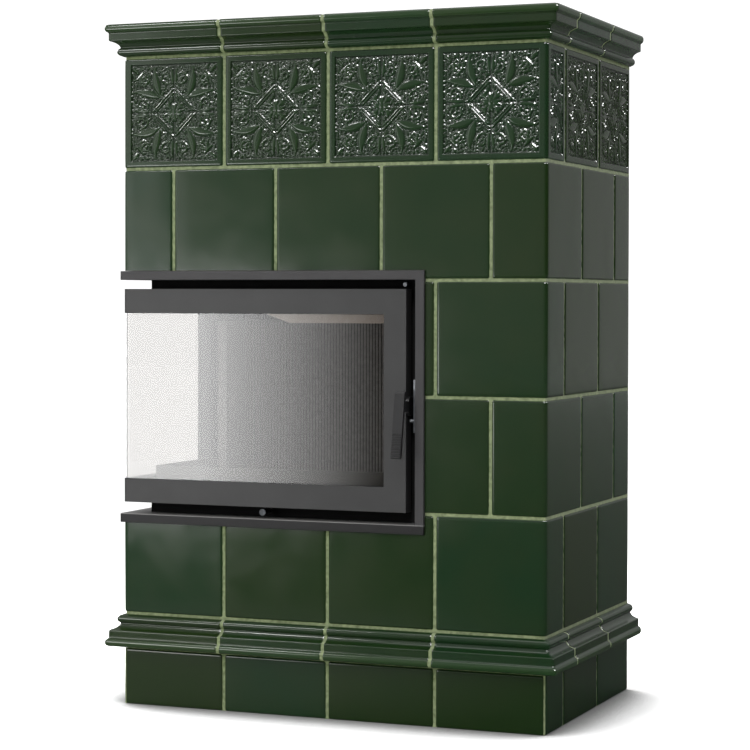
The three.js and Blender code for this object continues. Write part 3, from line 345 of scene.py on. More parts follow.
clay = grained("fired_clay", "#a0775a", "#b98e6c", 6, 1.5, 0.15, 0.92)
grout = grained("pale_stove_grout", "#5a6642", "#849067", 7, 1.6, 0.3, 0.9)
print("matt materials:", clay.name, grout.name)


# %% [markdown]
# ## The wall, unrolled
# The tiles go round three walls. It is easier to lay them on one long unrolled strip: `s` runs
# along the left wall (below 0), the front (0 to 900 mm) and the right wall (over 900 mm), and
# `out` is how far a point stands in front of the tiles' face. One function rolls the strip round
# the stove, with the rounded upright edge of the corner tiles.

# %% Roll the strip round the stove
TILE, JOINT, DEPTH = 220.0, 5.0, 36.0
PITCH = TILE + JOINT
WIDTH, LENGTH = 900.0, 560.0
CORNER = 8.0
MITRE = 45.0
FIRST_COURSE = 187.3


def rolled(s, out, z, corner=CORNER):
    """Places in metres for points of the unrolled wall, given in mm. A corner of 0 is mitred."""
    s, out, z = np.broadcast_arrays(*(np.asarray(v, float) for v in (s, out, z)))
    right = s > WIDTH / 2
    m = np.where(right, WIDTH - s, s)
    if corner > 0:
        turn = (m + corner) / (2 * corner) * math.pi / 2
        bend = (np.abs(m) < corner) & (out > -corner)
        x = np.where(m >= 0, np.maximum(m, -out), -out)
        y = np.where(m >= 0, -out, np.maximum(-m, -out))
        x = np.where(bend, corner - (corner + out) * np.cos(turn), x)
        y = np.where(bend, corner - (corner + out) * np.sin(turn), y)
    else:
        reach = np.abs(m) - out * np.clip(1 - np.abs(m) / MITRE, 0, 1)
        x = np.where(m >= 0, reach, -out)
        y = np.where(m >= 0, -out, reach)
    x = np.where(right, WIDTH / 2 - x, x - WIDTH / 2)
    return np.stack([x, y - LENGTH / 2, z], -1) * MM


print("left front corner:", rolled(0, 0, 0).round(4))


# %% [markdown]
# ## Shells
# A tile is a grid of points whose edge turns back in a quarter circle. A `Shell` gathers such
# grids and makes one object of them, with a flat or smooth face, a material and the glaze's
# `tone` and `thin`.

# %% Shells
class Shell:
    def __init__(self):
        self.points, self.faces, self.kinds = [], [], []
        self.soft, self.tone, self.thin = [], [], []
        self.count = 0

    def grid(self, places, keep=None, kind=0, soft=True, tone=0.5, thin=0.0):
        rows, columns = places.shape[:2]
        index = np.arange(rows * columns).reshape(rows, columns) + self.count
        cells = np.stack([index[:-1, :-1], index[:-1, 1:], index[1:, 1:], index[1:, :-1]], -1)
        cells = cells[keep] if keep is not None else cells.reshape(-1, 4)
        self.points.append(places.reshape(-1, 3))
        self.faces += cells.tolist()
        self.kinds += [kind] * len(cells)
        self.soft += [soft] * len(cells)
        self.tone.append(np.full(rows * columns, tone))
        self.thin.append(np.broadcast_to(thin, (rows, columns)).reshape(-1))
        self.count += rows * columns

    def cap(self, places, kind=1):
        """One flat face over a ring of points."""
        self.points.append(places)
        self.faces.append(list(range(self.count, self.count + len(places))))
        self.kinds.append(kind)
        self.soft.append(False)
        self.tone.append(np.zeros(len(places)))
        self.thin.append(np.zeros(len(places)))
        self.count += len(places)

    def piece(self, name, materials, slot, body="root"):
        data = bpy.data.meshes.new(name)
        data.from_pydata(np.concatenate(self.points).tolist(), [], self.faces)
        for m in materials:
            data.materials.append(m)
        data.polygons.foreach_set("material_index", np.asarray(self.kinds, np.int32))
        data.polygons.foreach_set("use_smooth", np.asarray(self.soft, bool))
        for label, values in (("tone", self.tone), ("thin", self.thin)):
            layer = data.attributes.new(label, "FLOAT", "POINT")
            layer.data.foreach_set("value", np.concatenate(values).astype(np.float32))
        data.update()
        made = bpy.data.objects.new(name, data)
        bpy.context.scene.collection.objects.link(made)
        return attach(made, body)


print("shells ready")


# %% [markdown]
# ## One tile
# The face of a tile bulges by under half a millimetre, and its edge is a quarter circle of 4 mm.
# The grid's lines are close together on that edge and wide apart on the face. Behind the edge the
# sides run back 36 mm as bare clay. Where the trim frame cuts a tile, the cells in the cut are
# left out.

# %% Tile grid
EDGE = 4.0
EDGE_LINES = np.array([0, 0.3, 0.9, 1.8, 2.9, 4.2, 7.0])
BULGE = 0.4
GLAZED_SIDE = 9.0  # how far the glaze runs back round the edge
BORDER = 12.0  # from a tile's edge to the panel of its relief
SLOPE = 2.5  # the panel's sloping rim
CUT = (-420.5, 655.0, 369.5, 879.5)  # the opening for the fire: from and to along s, then z


def lines_between(a, b, step, wanted):
    """Grid lines from a to b: close together at the edges, and one at each wanted place."""
    rim = EDGE_LINES[-1]
    inner = np.linspace(a + rim, b - rim, max(2, int(round((b - a - 2 * rim) / step)) + 1))
    wanted = [w for w in wanted if a < w < b]
    lines = np.unique(np.concatenate([a + EDGE_LINES, inner, b - EDGE_LINES, wanted]).round(3))
    return lines[np.concatenate([[True], np.diff(lines) > 0.05])]


def edge_drop(s, z, box):
    """How far the rounded edge of a tile lies behind its face, and how near its rim a point is."""
    s0, s1, z0, z1 = box
    across = np.maximum(0, EDGE - np.minimum(s - s0, s1 - s))
    up = np.maximum(0, EDGE - np.minimum(z - z0, z1 - z))
    reach = np.minimum(np.hypot(across, up), EDGE)
    return EDGE - np.sqrt(EDGE**2 - reach**2), reach / EDGE


def tile(shell, box, tone, relief=None, step=20.0, corner=CORNER, panels=()):
    s0, s1, z0, z1 = box
    bend = np.linspace(-CORNER, CORNER, 9)
    bends = np.concatenate([bend, WIDTH + bend])
    panel_s = [v for a, b, middle in panels for v in (a, a + SLOPE, b - SLOPE, b)]
    foot = BORDER + SLOPE
    panel_z = [z0 + v for v in (BORDER, foot, TILE - foot, TILE - BORDER)] if panels else []
    columns = lines_between(s0, s1, step, [*CUT[:2], *bends, *panel_s])
    rows = lines_between(z0, z1, step, [*CUT[2:], *panel_z])
    s, z = np.meshgrid(columns, rows)
    drop, rim = edge_drop(s, z, box)
    across, up = (s - s0) / (s1 - s0) * 2 - 1, (z - z0) / (z1 - z0) * 2 - 1
    bulge = -BULGE * (across**10 + up**10)
    # The outer half of the rounded edge has thin glaze, lighter there partly as a painted
    # highlight.
    out, thin = bulge - drop, np.clip(rim - 0.5, 0, 1)
    if relief is not None:
        raised, light = relief(s, z - z0, panels)
        out, thin = out + raised, np.where(light != 0, light, thin)
    cs, cz = (s[:-1, :-1] + s[1:, 1:]) / 2, (z[:-1, :-1] + z[1:, 1:]) / 2
    keep = ~((cs > CUT[0]) & (cs < CUT[1]) & (cz > CUT[2]) & (cz < CUT[3]))
    if not keep.any():
        return
    shell.grid(rolled(s, out, z, corner), keep, tone=tone, thin=thin)
    # Every edge between a kept cell and a missing one gets a side that runs back into the wall.
    solid = np.pad(keep, 1)
    rims = []
    for i, j in np.argwhere(solid[1:, 1:-1] != solid[:-1, 1:-1]):
        rims.append(((i, j), (i, j + 1)) if solid[i + 1, j + 1] else ((i, j + 1), (i, j)))
    for i, j in np.argwhere(solid[1:-1, 1:] != solid[1:-1, :-1]):
        rims.append(((i + 1, j), (i, j)) if solid[i + 1, j + 1] else ((i, j), (i + 1, j)))
    for (i, j), (k, m) in rims:
        ends_s, ends_z = np.array([s[i, j], s[k, m]]), np.array([z[i, j], z[k, m]])
        front = np.array([out[i, j], out[k, m]])
        levels = (front, np.minimum(front, -GLAZED_SIDE), np.full(2, -DEPTH))
        side = np.stack([rolled(ends_s, level, ends_z, corner) for level in levels])
        shell.grid(side[:2][::-1], soft=False, tone=tone, thin=0.3)
        shell.grid(side[1:][::-1], kind=1, soft=False)


print("edge circle:", EDGE, "mm")


# %% [markdown]
# ## The bond
# Tiles are laid in running bond: each course is shifted half a tile on the one below it. The
# corner tile turns the corner with a long face on one wall and a short one on the other, by
# turns.

# %% Plain courses
rng = np.random.default_rng(7)


def joint_lines(course):
    """Where the upright joints of a course lie on the unrolled wall."""
    long_front = course % 2 == 0
    front = np.arange(PITCH if long_front else PITCH / 2, WIDTH, PITCH)
    side = np.arange(PITCH / 2 if long_front else PITCH, LENGTH - 16, PITCH)
    return np.concatenate([-side[::-1], front, WIDTH + side])


def cells(lines):
    starts = np.concatenate([[-LENGTH], lines + JOINT / 2])
    ends = np.concatenate([lines - JOINT / 2, [WIDTH + LENGTH]])
    return list(zip(starts, ends))


def wall_of(s0, s1):
    if s0 < 0:
        return "left"
    return "right" if s1 > WIDTH else "front"


def course_pieces(name, lay):
    shells = {"front": Shell(), "left": Shell(), "right": Shell()}
    lay(shells)
    for wall, shell in shells.items():
        made = shell.piece(f"{name}_{wall}_tiles", [glaze, clay], "green_glazed_tile")
        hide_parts(f"{name}_{wall}")
        print(made.name, len(made.data.polygons), "faces")


def lay_course(course):
    def lay(shells):
        z0 = FIRST_COURSE + course * PITCH
        for s0, s1 in cells(joint_lines(course)):
            tile(shells[wall_of(s0, s1)], (s0, s1, z0, z0 + TILE), float(rng.uniform(0, 1)))

    return lay


for course in range(4):
    course_pieces(f"course_{course + 1}", lay_course(course))


# %% [markdown]
# ## Plinth
# The plinth is a row of low tiles. Unlike the others they meet at the corner in a mitre with
# grout in it.

# %% Plinth
PLINTH = 113.3
SIDE_LINES = np.array([PITCH / 2, PITCH * 1.5])
BAND_LINES = np.concatenate([-SIDE_LINES[::-1], [PITCH, 2 * PITCH, 3 * PITCH], WIDTH + SIDE_LINES])


def lay_plinth(shells):
    for s0, s1 in cells(np.sort(np.concatenate([BAND_LINES, [0.0, WIDTH]]))):
        box = (s0, s1, 0.0, PLINTH)
        tile(shells[wall_of(s0, s1)], box, float(rng.uniform(0, 1)), corner=0)


course_pieces("plinth", lay_plinth)


# %% [markdown]
# ## Cornices
# A cornice tile is pressed in a mould, so its section is the same all along: a small bead, a
# hollow, a flat fascia and a round lip. The section is carried along the unrolled wall. Its ends
# are rounded by drawing the section in, and at the stove's corner the mitre's edge is drawn in a
# little too.

# %% Cornices
CORNICE = 64.0
CORNICE_BASE, CORNICE_TOP = 118.3, 1312.3


def curve(points, count=12):
    """Points of a Bezier curve of any degree, without its last one."""
    t = np.linspace(0, 1, count, endpoint=False)[:, None]
    n = len(points) - 1
    weights = [math.comb(n, i) * t**i * (1 - t) ** (n - i) for i in range(n + 1)]
    return sum(w * np.array(p, float) for w, p in zip(weights, points))


section = np.concatenate(
    [
        [[-DEPTH, 0.0], [0.5 - DEPTH, 0.0], [-1.0, 0.0]],
        curve([(0.5, 0.0), (2, 0), (2, 0.6)], 4),
        curve([(3.2, 1.2), (12.6, 3), (12.6, 13.5), (5.4, 17.6)], 14),
        curve([(5.4, 17.6), (5.2, 18.4), (6.0, 19.6)], 3),
        curve([(6.0, 19.6), (9, 27), (21.5, 30.4)], 12),
        curve([(21.5, 30.4), (23, 31), (23, 32.5)], 5),
        curve([(23, 32.5), (23, 45)], 2),
        curve([(23, 45), (23, 46.6), (25, 48)], 5),
        curve([(25, 48), (30.6, 50), (30.6, 62.4), (24, 64)], 16),
        [[20.0, 64.0], [0.5 - DEPTH, 64.0], [-DEPTH, 64.0]],
    ]
)
print("section points:", len(section))


# %% [markdown]
# The same section stands upright in the top cornice and upside down in the base cornice. One
# function gives it either way up, with the direction that points out of the tile at each of its
# points.

# %% Lay the cornices
END_ROUND = 3.0  # the rounding of a tile's end at a joint
MITRE_ROUND = 0.8
NEAR_CORNER = np.array([-45, -20, -6, -3, -1.5, 0, 1.5, 3, 6, 20, 45])
FAR = 99.0  # stands for "no joint at this end"


def moulding(flipped):
    profile = section[::-1] * [1, -1] + [0, CORNICE] if flipped else section
    along = np.roll(profile, -1, 0) - np.roll(profile, 1, 0)
    normal = np.stack([along[:, 1], -along[:, 0]], -1)
    return profile, normal / np.linalg.norm(normal, axis=1)[:, None]


def cornice_tile(shell, s0, s1, base, flipped, tone, joint):
    profile, normal = moulding(flipped)
    normal[[0, -1]] = 0
    columns = lines_between(s0, s1, 40, [*NEAR_CORNER, *(WIDTH + NEAR_CORNER)])
    from_end = np.minimum(columns - s0 if joint[0] else FAR, s1 - columns if joint[1] else FAR)
    end = np.maximum(0, END_ROUND - from_end)
    drawn = END_ROUND - np.sqrt(END_ROUND**2 - end**2)
    near = np.minimum(np.abs(columns), np.abs(columns - WIDTH))
    drawn = drawn + MITRE_ROUND * np.clip(1 - near / 4, 0, 1) ** 2
    out = profile[:, 0][:, None] - drawn * normal[:, 0][:, None]
    up = profile[:, 1][:, None] - drawn * normal[:, 1][:, None]
    places = rolled(columns[None, :], out, base + up, corner=0)
    # The rounded ends and the crest of the lip have thin glaze, lighter there partly as a painted
    # highlight.
    rim = np.broadcast_to(np.clip(end / END_ROUND - 0.4, 0, 1), out.shape)
    crest = np.clip((profile[:, 0] - 24) / 5, 0, 1)[:, None] * 0.25
    shell.grid(places, tone=tone, thin=np.maximum(rim, crest))
    shell.grid(places[[-1, 0]], kind=1, soft=False)
    # The grout hides the tiles' ends, so only the two that stand free at the back are closed.
    if s0 < -LENGTH + 1:
        shell.cap(places[:, 0])
    if s1 > WIDTH + LENGTH - 1:
        shell.cap(places[::-1, -1])


def lay_cornice(base, flipped):
    def lay(shells):
        for s0, s1 in cells(BAND_LINES):
            halves = [(s0, s1)]
            for c in (0.0, WIDTH):
                if s0 < c < s1:
                    halves = [(s0, c), (c, s1)]
            tone = float(rng.uniform(0, 1))
            for a, b in halves:
                joint = (a not in (0.0, WIDTH, -LENGTH), b not in (0.0, WIDTH, WIDTH + LENGTH))
                cornice_tile(shells[wall_of(a, b)], a, b, base, flipped, tone, joint)

    return lay


course_pieces("base_cornice", lay_cornice(CORNICE_BASE, True))
course_pieces("top_cornice", lay_cornice(CORNICE_TOP, False))


# %% [markdown]
# ## Ornament tiles
# The relief is carved in the plaster mould by hand: a diamond of double ribs, plain pointed
# leaves in the corners, and small foliage over all the rest. It is drawn here as a height map of
# one quarter of the tile, out of strokes and leaves, and mirrored. The pattern is a plain
# traditional one of its own.

# %% Carve the relief
PANEL = TILE / 2 - BORDER
GROUND = -3.4
GRID = 0.8
quarter = np.zeros((int(PANEL / GRID) + 1,) * 2)
plan_v, plan_u = np.mgrid[0 : quarter.shape[0], 0 : quarter.shape[1]] * GRID


def carve(path, width, height, groove=0.0, crown=2.0):
    """Raises a rounded stroke along a path of points; its width at each point follows `width`."""
    path = np.array(path, float)
    widths = np.full(len(path), width) if np.isscalar(width) else np.array(width)
    low, high = path.min(0) - widths.max(), path.max(0) + widths.max()
    near = (plan_u > low[0]) & (plan_u < high[0]) & (plan_v > low[1]) & (plan_v < high[1])
    at = np.stack([plan_u[near], plan_v[near]], -1)
    best = quarter[near]
    for p, q, wp, wq in zip(path, path[1:], widths, widths[1:]):
        t = np.clip(((at - p) @ (q - p)) / max(float((q - p) @ (q - p)), 1e-9), 0, 1)
        far = np.linalg.norm(at - (p + t[:, None] * (q - p)), axis=1)
        share = far / np.maximum(wp + t * (wq - wp), 0.05)
        raised = height * np.sqrt(np.clip(1 - share**crown, 0, 1))
        raised -= groove * np.clip(1 - share / 0.3, 0, 1) * (share < 1)
        best = np.maximum(best, raised)
    quarter[near] = best


def carve_leaf(root, tip, half_width, height, bow=0.0, groove=0.6):
    root, tip = np.array(root, float), np.array(tip, float)
    t = np.linspace(0, 1, 14)
    side = np.array([-(tip - root)[1], (tip - root)[0]])
    path = root + t[:, None] * (tip - root) + (np.sin(t * math.pi) * bow)[:, None] * side
    carve(path, half_width * np.sin(math.pi * np.clip(t, 0.04, 0.97) ** 0.8), height, groove, 1.3)


def carve_scroll(centre, start, radius, turns, width, height, hand):
    t = np.linspace(0, 1, 40)
    angle = start + hand * t * turns * 2 * math.pi
    reach = radius * (1 - 0.85 * t)
    path = np.array(centre) + reach[:, None] * np.stack([np.cos(angle), np.sin(angle)], -1)
    carve(path, width * (1 - 0.5 * t), height)
    for i in range(3, 34, 5):
        outward = angle[i] + 0.7 * hand
        away = path[i] + 6.5 * np.array([math.cos(outward), math.sin(outward)])
        carve_leaf(path[i], away, 2.0, height * 0.9)
    carve([path[-1], path[-1] + 0.1], 3.0, height)


for offset, width in ((50, 2.0), (43, 1.7)):
    carve([(offset - 3, 3), (3, offset - 3)], width, 2.6)
# All of these are carved on both sides of the quarter's diagonal; hand is -1 on the far side.
for hand in (1, -1):
    turn = 0 if hand > 0 else math.pi / 2
    carve_leaf((34, 31)[::hand], (92, 43)[::hand], 9.5, 3.3, 0.06 * hand, 1.2)
    carve_scroll((70, 63)[::hand], turn + 0.4 * hand, 13, 1.3, 2.6, 2.8, hand)
    carve_scroll((72, 17)[::hand], turn - 2.6 * hand, 14, 1.2, 2.6, 2.8, -hand)
    carve_leaf((56, 3)[::hand], (92, 6)[::hand], 4.5, 3.0)
    carve_leaf((4, 1)[::hand], (20, 4)[::hand], 4.0, 2.8)
    carve_leaf((8, 8)[::hand], (26, 12)[::hand], 3.6, 2.6, 0.1 * hand)
carve_leaf((4, 4), (20, 20), 4.0, 2.8)
carve_leaf((80, 80), (95, 95), 5.0, 3.0)
carve([(0, 0), (0.1, 0)], 5.5, 3.0)
print("carved", int((quarter > 0).sum()), "of", quarter.size, "points")


# %% [markdown]
# What the big leaves leave free is filled with small ones, as the carver does: each grows away
# from the middle of the quarter, and only where nothing stands yet. They are drawn at random from
# a fixed seed, so every run gives the same tile. Then the quarter is mirrored twice and smoothed
# as if by the glaze.

# %% Fill the ground with small foliage
SPROUT_TRIES, DOT_TRIES = 2600, 300
sprouts = 0
for attempt in range(SPROUT_TRIES):
    foot = rng.uniform(2, PANEL - 3, 2)
    turn = math.atan2(foot[1] - 50, foot[0] - 50) + rng.uniform(-1.2, 1.2)
    length = rng.uniform(4, 8)
    tip = foot + length * np.array([math.cos(turn), math.sin(turn)])
    if not (0 < tip[0] < PANEL - 1 and 0 < tip[1] < PANEL - 1):
        continue
    spots = np.linspace(foot, tip, 5)
    taken = [quarter[int(v / GRID), int(u / GRID)] for u, v in spots]
    if max(taken) > 0.2:
        continue
    half_width, height, bow = rng.uniform(1.1, 1.9), rng.uniform(2.2, 3.2), rng.uniform(-0.25, 0.25)
    carve_leaf(foot, tip, half_width, height, bow, 0.5)
    sprouts += 1
for attempt in range(DOT_TRIES):
    spot = rng.uniform(2, PANEL - 2, 2)
    if quarter[int(spot[1] / GRID), int(spot[0] / GRID)] < 0.1:
        carve([spot, spot + 0.1], rng.uniform(1.2, 2.0), 1.8)
half = np.concatenate([quarter[:, :0:-1], quarter], 1)
carving = np.concatenate([half[:0:-1], half], 0)
for axis in (0, 1):
    carving = (np.roll(carving, 1, axis) + 2 * carving + np.roll(carving, -1, axis)) / 4
print("sprouts:", sprouts, "map:", carving.shape)


# %% [markdown]
# The height map lies on a grid of 0.8 mm. A tile reads it between the grid's points. The glaze is
# thin on what stands up, lighter there partly as a painted highlight, and pools in the ground,
# darker there partly as painted shade, so the height also says where it is `thin`.

# %% Lay the ornament course
CORNER_BORDER = 17.0
RELIEF_STEP = 1.5


def relief(s, up, panels):
    raised, light = np.zeros_like(s), np.zeros_like(s)
    v = up - TILE / 2
    for a, b, middle in panels:
        u = s - middle
        inside = np.minimum(np.minimum(s - a, b - s), PANEL - np.abs(v))
        ramp = np.clip(inside / SLOPE, 0, 1)
        column = np.clip((u + PANEL) / GRID, 0, carving.shape[1] - 1.001)
        row = np.clip((v + PANEL) / GRID, 0, carving.shape[0] - 1.001)
        i, j = row.astype(int), column.astype(int)
        fi, fj = row - i, column - j
        height = (carving[i, j] * (1 - fj) + carving[i, j + 1] * fj) * (1 - fi)
        height += (carving[i + 1, j] * (1 - fj) + carving[i + 1, j + 1] * fj) * fi
        raised += ramp * (GROUND + height)
        # Crests a little lighter, thin glaze and partly a painted highlight; ground darker, pooled
        # glaze and partly painted shade.
        light += np.where(ramp > 0, 0.06 - 0.7 * np.clip(1 - height / 2.0, 0, 1), 0)
    return raised, light


def ornament_panels(s0, s1):
    """(from, to, middle of the pattern) of a tile's panels. A short one holds half a pattern."""
    for c in (0.0, WIDTH):
        if s0 < c < s1:
            spans = [(s0 + BORDER, c - CORNER_BORDER), (c + CORNER_BORDER, s1 - BORDER)]
            inner = [a if abs(c - a) > abs(c - b) else b for a, b in spans]
            return [(a, b, (a + b) / 2 if b - a > 150 else e) for (a, b), e in zip(spans, inner)]
    return [(s0 + BORDER, s1 - BORDER, (s0 + s1) / 2)]


def lay_ornament(shells):
    z0 = FIRST_COURSE + 4 * PITCH
    for s0, s1 in cells(joint_lines(4)):
        box = (s0, s1, z0, z0 + TILE)
        tone = float(rng.uniform(0, 1))
        panels = ornament_panels(s0, s1)
        tile(shells[wall_of(s0, s1)], box, tone, relief, RELIEF_STEP, CORNER, panels)


course_pieces("ornament_course", lay_ornament)


# %% [markdown]
# ## Grout
# The joints are filled nearly flush with a pale grout that is wiped with a finger, so it is a
# little lumpy. Each joint is a strip that lies just behind the tiles' faces and runs under their
# round edges. Its lumps are a sum of waves of 6 to 40 mm, so that strips agree where they cross.

# %% Grout strips
GROUT_DEPTH = 2.2
LUMP = 0.14
LAP = 3.5  # how far a strip runs under the tiles on each side
HALF = JOINT / 2 + LAP
wave_numbers = 2 * math.pi / rng.uniform(6, 40, 16)
wave_turns = rng.uniform(0, 2 * math.pi, 16)
wave_starts = rng.uniform(0, 2 * math.pi, 16)


def lumps(s, z):
    total = np.zeros(np.broadcast(s, z).shape)
    for k, turn, start in zip(wave_numbers, wave_turns, wave_starts):
        total = total + np.sin(k * (s * math.cos(turn) + z * math.sin(turn)) + start)
    return LUMP * total


def grout_strip(shells, s0, s1, z0, z1, corner=CORNER):
    for a, b in ((-LENGTH, 0.0), (0.0, WIDTH), (WIDTH, WIDTH + LENGTH)):
        start, stop = max(a, s0), min(b, s1)
        if stop - start < 0.5:
            continue
        columns = np.linspace(start, stop, max(3, int((stop - start) / 3.0)))
        rows = np.linspace(z0, z1, max(5, int((z1 - z0) / 3.0)))
        s, z = np.meshgrid(columns, rows)
        shell = shells[wall_of(a, b)]
        out = -GROUT_DEPTH - np.abs(lumps(s, z))
        shell.grid(rolled(s, out, z, corner))
        for end, order in ((-LENGTH, -1), (WIDTH + LENGTH, 1)):
            if end in (start, stop):
                places = rolled(end, [-1.5, -DEPTH, -DEPTH, -1.5], [z0, z0, z1, z1])
                shell.cap(places[::order], 0)


grout_shells = {"front": Shell(), "left": Shell(), "right": Shell()}
levels = [PLINTH, CORNICE_BASE + CORNICE] + [FIRST_COURSE + k * PITCH + TILE for k in range(5)]
for level in levels:
    spans = [(-LENGTH, WIDTH + LENGTH)]
    if CUT[2] < level < CUT[3]:
        spans = [(-LENGTH, CUT[0]), (CUT[1], WIDTH + LENGTH)]
    for a, b in spans:
        lap = 0.0 if level == PLINTH else LAP
        grout_strip(grout_shells, a, b, level - lap, level + JOINT + LAP)
for course in range(5):
    z0 = FIRST_COURSE + course * PITCH - 1
    z1 = z0 + TILE + 2
    for line in joint_lines(course):
        low, high = z0, z1
        if CUT[0] < line < CUT[1]:
            low, high = (z0, min(z1, CUT[2])) if z0 < CUT[2] else (max(z0, CUT[3]), z1)
        if high > low:
            grout_strip(grout_shells, line - HALF, line + HALF, low, high)
for line in np.concatenate([BAND_LINES, [0.0, WIDTH]]):
    grout_strip(grout_shells, line - HALF, line + HALF, 0.5, PLINTH, 3.0)
print("grout points:", {wall: shell.count for wall, shell in grout_shells.items()})


# %% [markdown]
# In a cornice the joint follows the section, so its grout does too: the same section a millimetre
# or so behind the tiles, over the width of the joint and a little under the tiles on both sides.

# %% Grout in the cornices
for base, flipped in ((CORNICE_BASE, True), (CORNICE_TOP, False)):
    profile, normal = moulding(flipped)
    for line in BAND_LINES:
        columns = line + np.linspace(-5.5, 5.5, 6)
        lump = 0.7 + 0.9 * np.abs(lumps(columns[None, :], base + profile[:, 1][:, None] * 1.7))
        out = profile[:, 0][:, None] - lump * normal[:, 0][:, None]
        up = profile[:, 1][:, None] - lump * normal[:, 1][:, None]
        places = rolled(columns[None, :], out, base + up, corner=0)
        grout_shells[wall_of(line, line)].grid(places[1:-1])
for wall, shell in grout_shells.items():
    made = shell.piece(f"grout_{wall}", [grout], "green_glazed_tile")
    print(made.name, len(made.data.polygons), "faces")


# %% [markdown]
# ## Painted and bare steel
# The door and the trim are powder-coated: fine grey plastic powder, melted on, which leaves a
# satin skin with a fine grain. The casing is sprayed with matt black heat paint, given darker than
# that paint is, as painted shade in the gaps round the door. Knob, screw and keeper are bare
# zinc-plated steel, the log guard brushed stainless. Metals keep the default IOR.

# %% Steel finishes
powder_grey = grained("powder_coated_steel", "#2b2b2b", "#303030", 60, 1.2, 0.03, 0.42, 0.0, 0.4)
trim_grey = grained("powder_coated_trim", "#2c2b2c", "#323132", 60, 1.2, 0.03, 0.45, 0.0, 0.4)
# Black heat paint made darker than real paint: painted shade in the gaps round the door.
heat_black_and_gap_shade = grained("matt_black_heat_paint", "#040404", "#080808", 40, 1.5, 0.03, 0.7, 0.0, 0.1)
handle_grey = grained("cast_steel_handle", "#101011", "#19191a", 12, 0.8, 0.05, 0.34, 0.0, 0.5)
dark_zinc = grained("black_zinc_steel", "#3a3c3e", "#505355", 8, 1.0, 0.01, 0.36, 1.0)
zinc = grained("zinc_plated_steel", "#6f7276", "#8e9195", 8, 1.0, 0.01, 0.38, 1.0)
iron = grained("cast_iron", "#242425", "#34332f", 12, 2.2, 0.2, 0.65, 0.4)
for finish in (powder_grey, trim_grey, heat_black_and_gap_shade, handle_grey, dark_zinc, zinc, iron):
    print("steel finish:", finish.name)


# %% [markdown]
# ## The sill bar
# The trim's lowest bar is painted darker on its face, as painted shade, and lighter along its
# upper edge, as a painted highlight. It is part of one bent frame with one material, so the height
# of a point above the floor tells which of the two it gets.

# %% The sill bar
# Heights of the painted shade and the painted highlight on the sill bar.
FACE_TOP, EDGE_FOOT, EDGE_TOP = 0.3866, 0.3870, 0.3890
tree = trim_grey.node_tree
coat = tree.nodes["Principled BSDF"]
plain = coat.inputs["Base Color"].links[0].from_socket
place = add(tree, "TexCoord", {}).outputs["Object"]
up = add(tree, "SeparateXYZ", {"Vector": place}).outputs["Z"]
# A painted highlight along the top edge of the sill bar.
painted_edge_highlight = add(tree, "MapRange", {"Value": up, "From Min": EDGE_TOP, "From Max": EDGE_TOP - 0.6 * MM})
edge = add(tree, "Mix", {0: painted_edge_highlight.outputs[0], 6: plain, 7: linear("#6c6b6a")}, data_type="RGBA")
# Painted shade on the face of the sill bar.
painted_sill_shade = add(tree, "MapRange", {"Value": up, "From Min": EDGE_FOOT, "From Max": FACE_TOP})
inputs = {0: painted_sill_shade.outputs[0], 6: edge.outputs[2], 7: linear("#0a090a")}
sill_shade_and_highlight = add(tree, "Mix", inputs, data_type="RGBA")
tree.links.new(sill_shade_and_highlight.outputs[2], coat.inputs["Base Color"])
print("trim nodes:", len(tree.nodes))


# %% [markdown]
# ## Brushed steel
# The log guard is stainless steel sheet, brushed along its length, which spreads the highlights
# across the brush lines. Noise squeezed in height gives such lines. They are about 0.3 mm apart
# on the real sheet and are drawn 1 mm apart, so that they show.

# %% Brushed steel
brushed, tree, where = new_material("brushed_stainless_steel")
LINE_GAP = 1.0 * MM
squeezed = add(tree, "Mapping", {"Vector": where, "Scale": (4.0, 4.0, 1 / LINE_GAP)})
lines = add(tree, "TexNoise", {"Vector": squeezed.outputs[0], "Scale": 1.0, "Detail": 3.0})
rough = add(tree, "MapRange", {"Value": lines.outputs[0], "To Min": 0.38, "To Max": 0.55})
bump = add(tree, "Bump", {"Height": lines.outputs[0], "Distance": 0.02 * MM})
inputs = {"Base Color": linear("#585855"), "Metallic": 1.0}
inputs |= {"Roughness": rough.outputs[0], "Normal": bump.outputs[0]}
surface = add(tree, "BsdfPrincipled", inputs)
add(tree, "OutputMaterial", {"Surface": surface.outputs[0]})
print("brushed steel nodes:", len(tree.nodes))


# %% [markdown]
# ## Linings, boards and rope
# The firebox is lined with pressed vermiculite, a light grey board of mica flakes. The baffle is
# a pinkish fireclay. The covers are calcium silicate board, the slab is concrete.

# %% Mineral finishes
vermiculite = grained("vermiculite_board", "#8a8a89", "#a2a2a1", 9, 2.5, 0.25, 0.88)
chamotte = grained("fireclay_baffle", "#e6d8cb", "#f0e5db", 14, 2.0, 0.2, 0.9)
silicate = grained("calcium_silicate_board", "#b3ada0", "#c2bdb1", 30, 2.0, 0.12, 0.9)
concrete = grained("cast_concrete", "#77766f", "#929088", 25, 3.0, 0.3, 0.92)
rope = grained("woven_glass_fibre_rope", "#3a3835", "#5a5752", 4, 2.0, 0.4, 0.95)
for finish in (vermiculite, chamotte, silicate, concrete, rope):
    print("mineral finish:", finish.name)


# %% [markdown]
# ## Darker grooves in the ribs
# The back lining is coloured darker in the grooves between its ribs than on their crests. The
# board stands upright across the stove, so how far back a point lies tells whether it is in a
# groove.

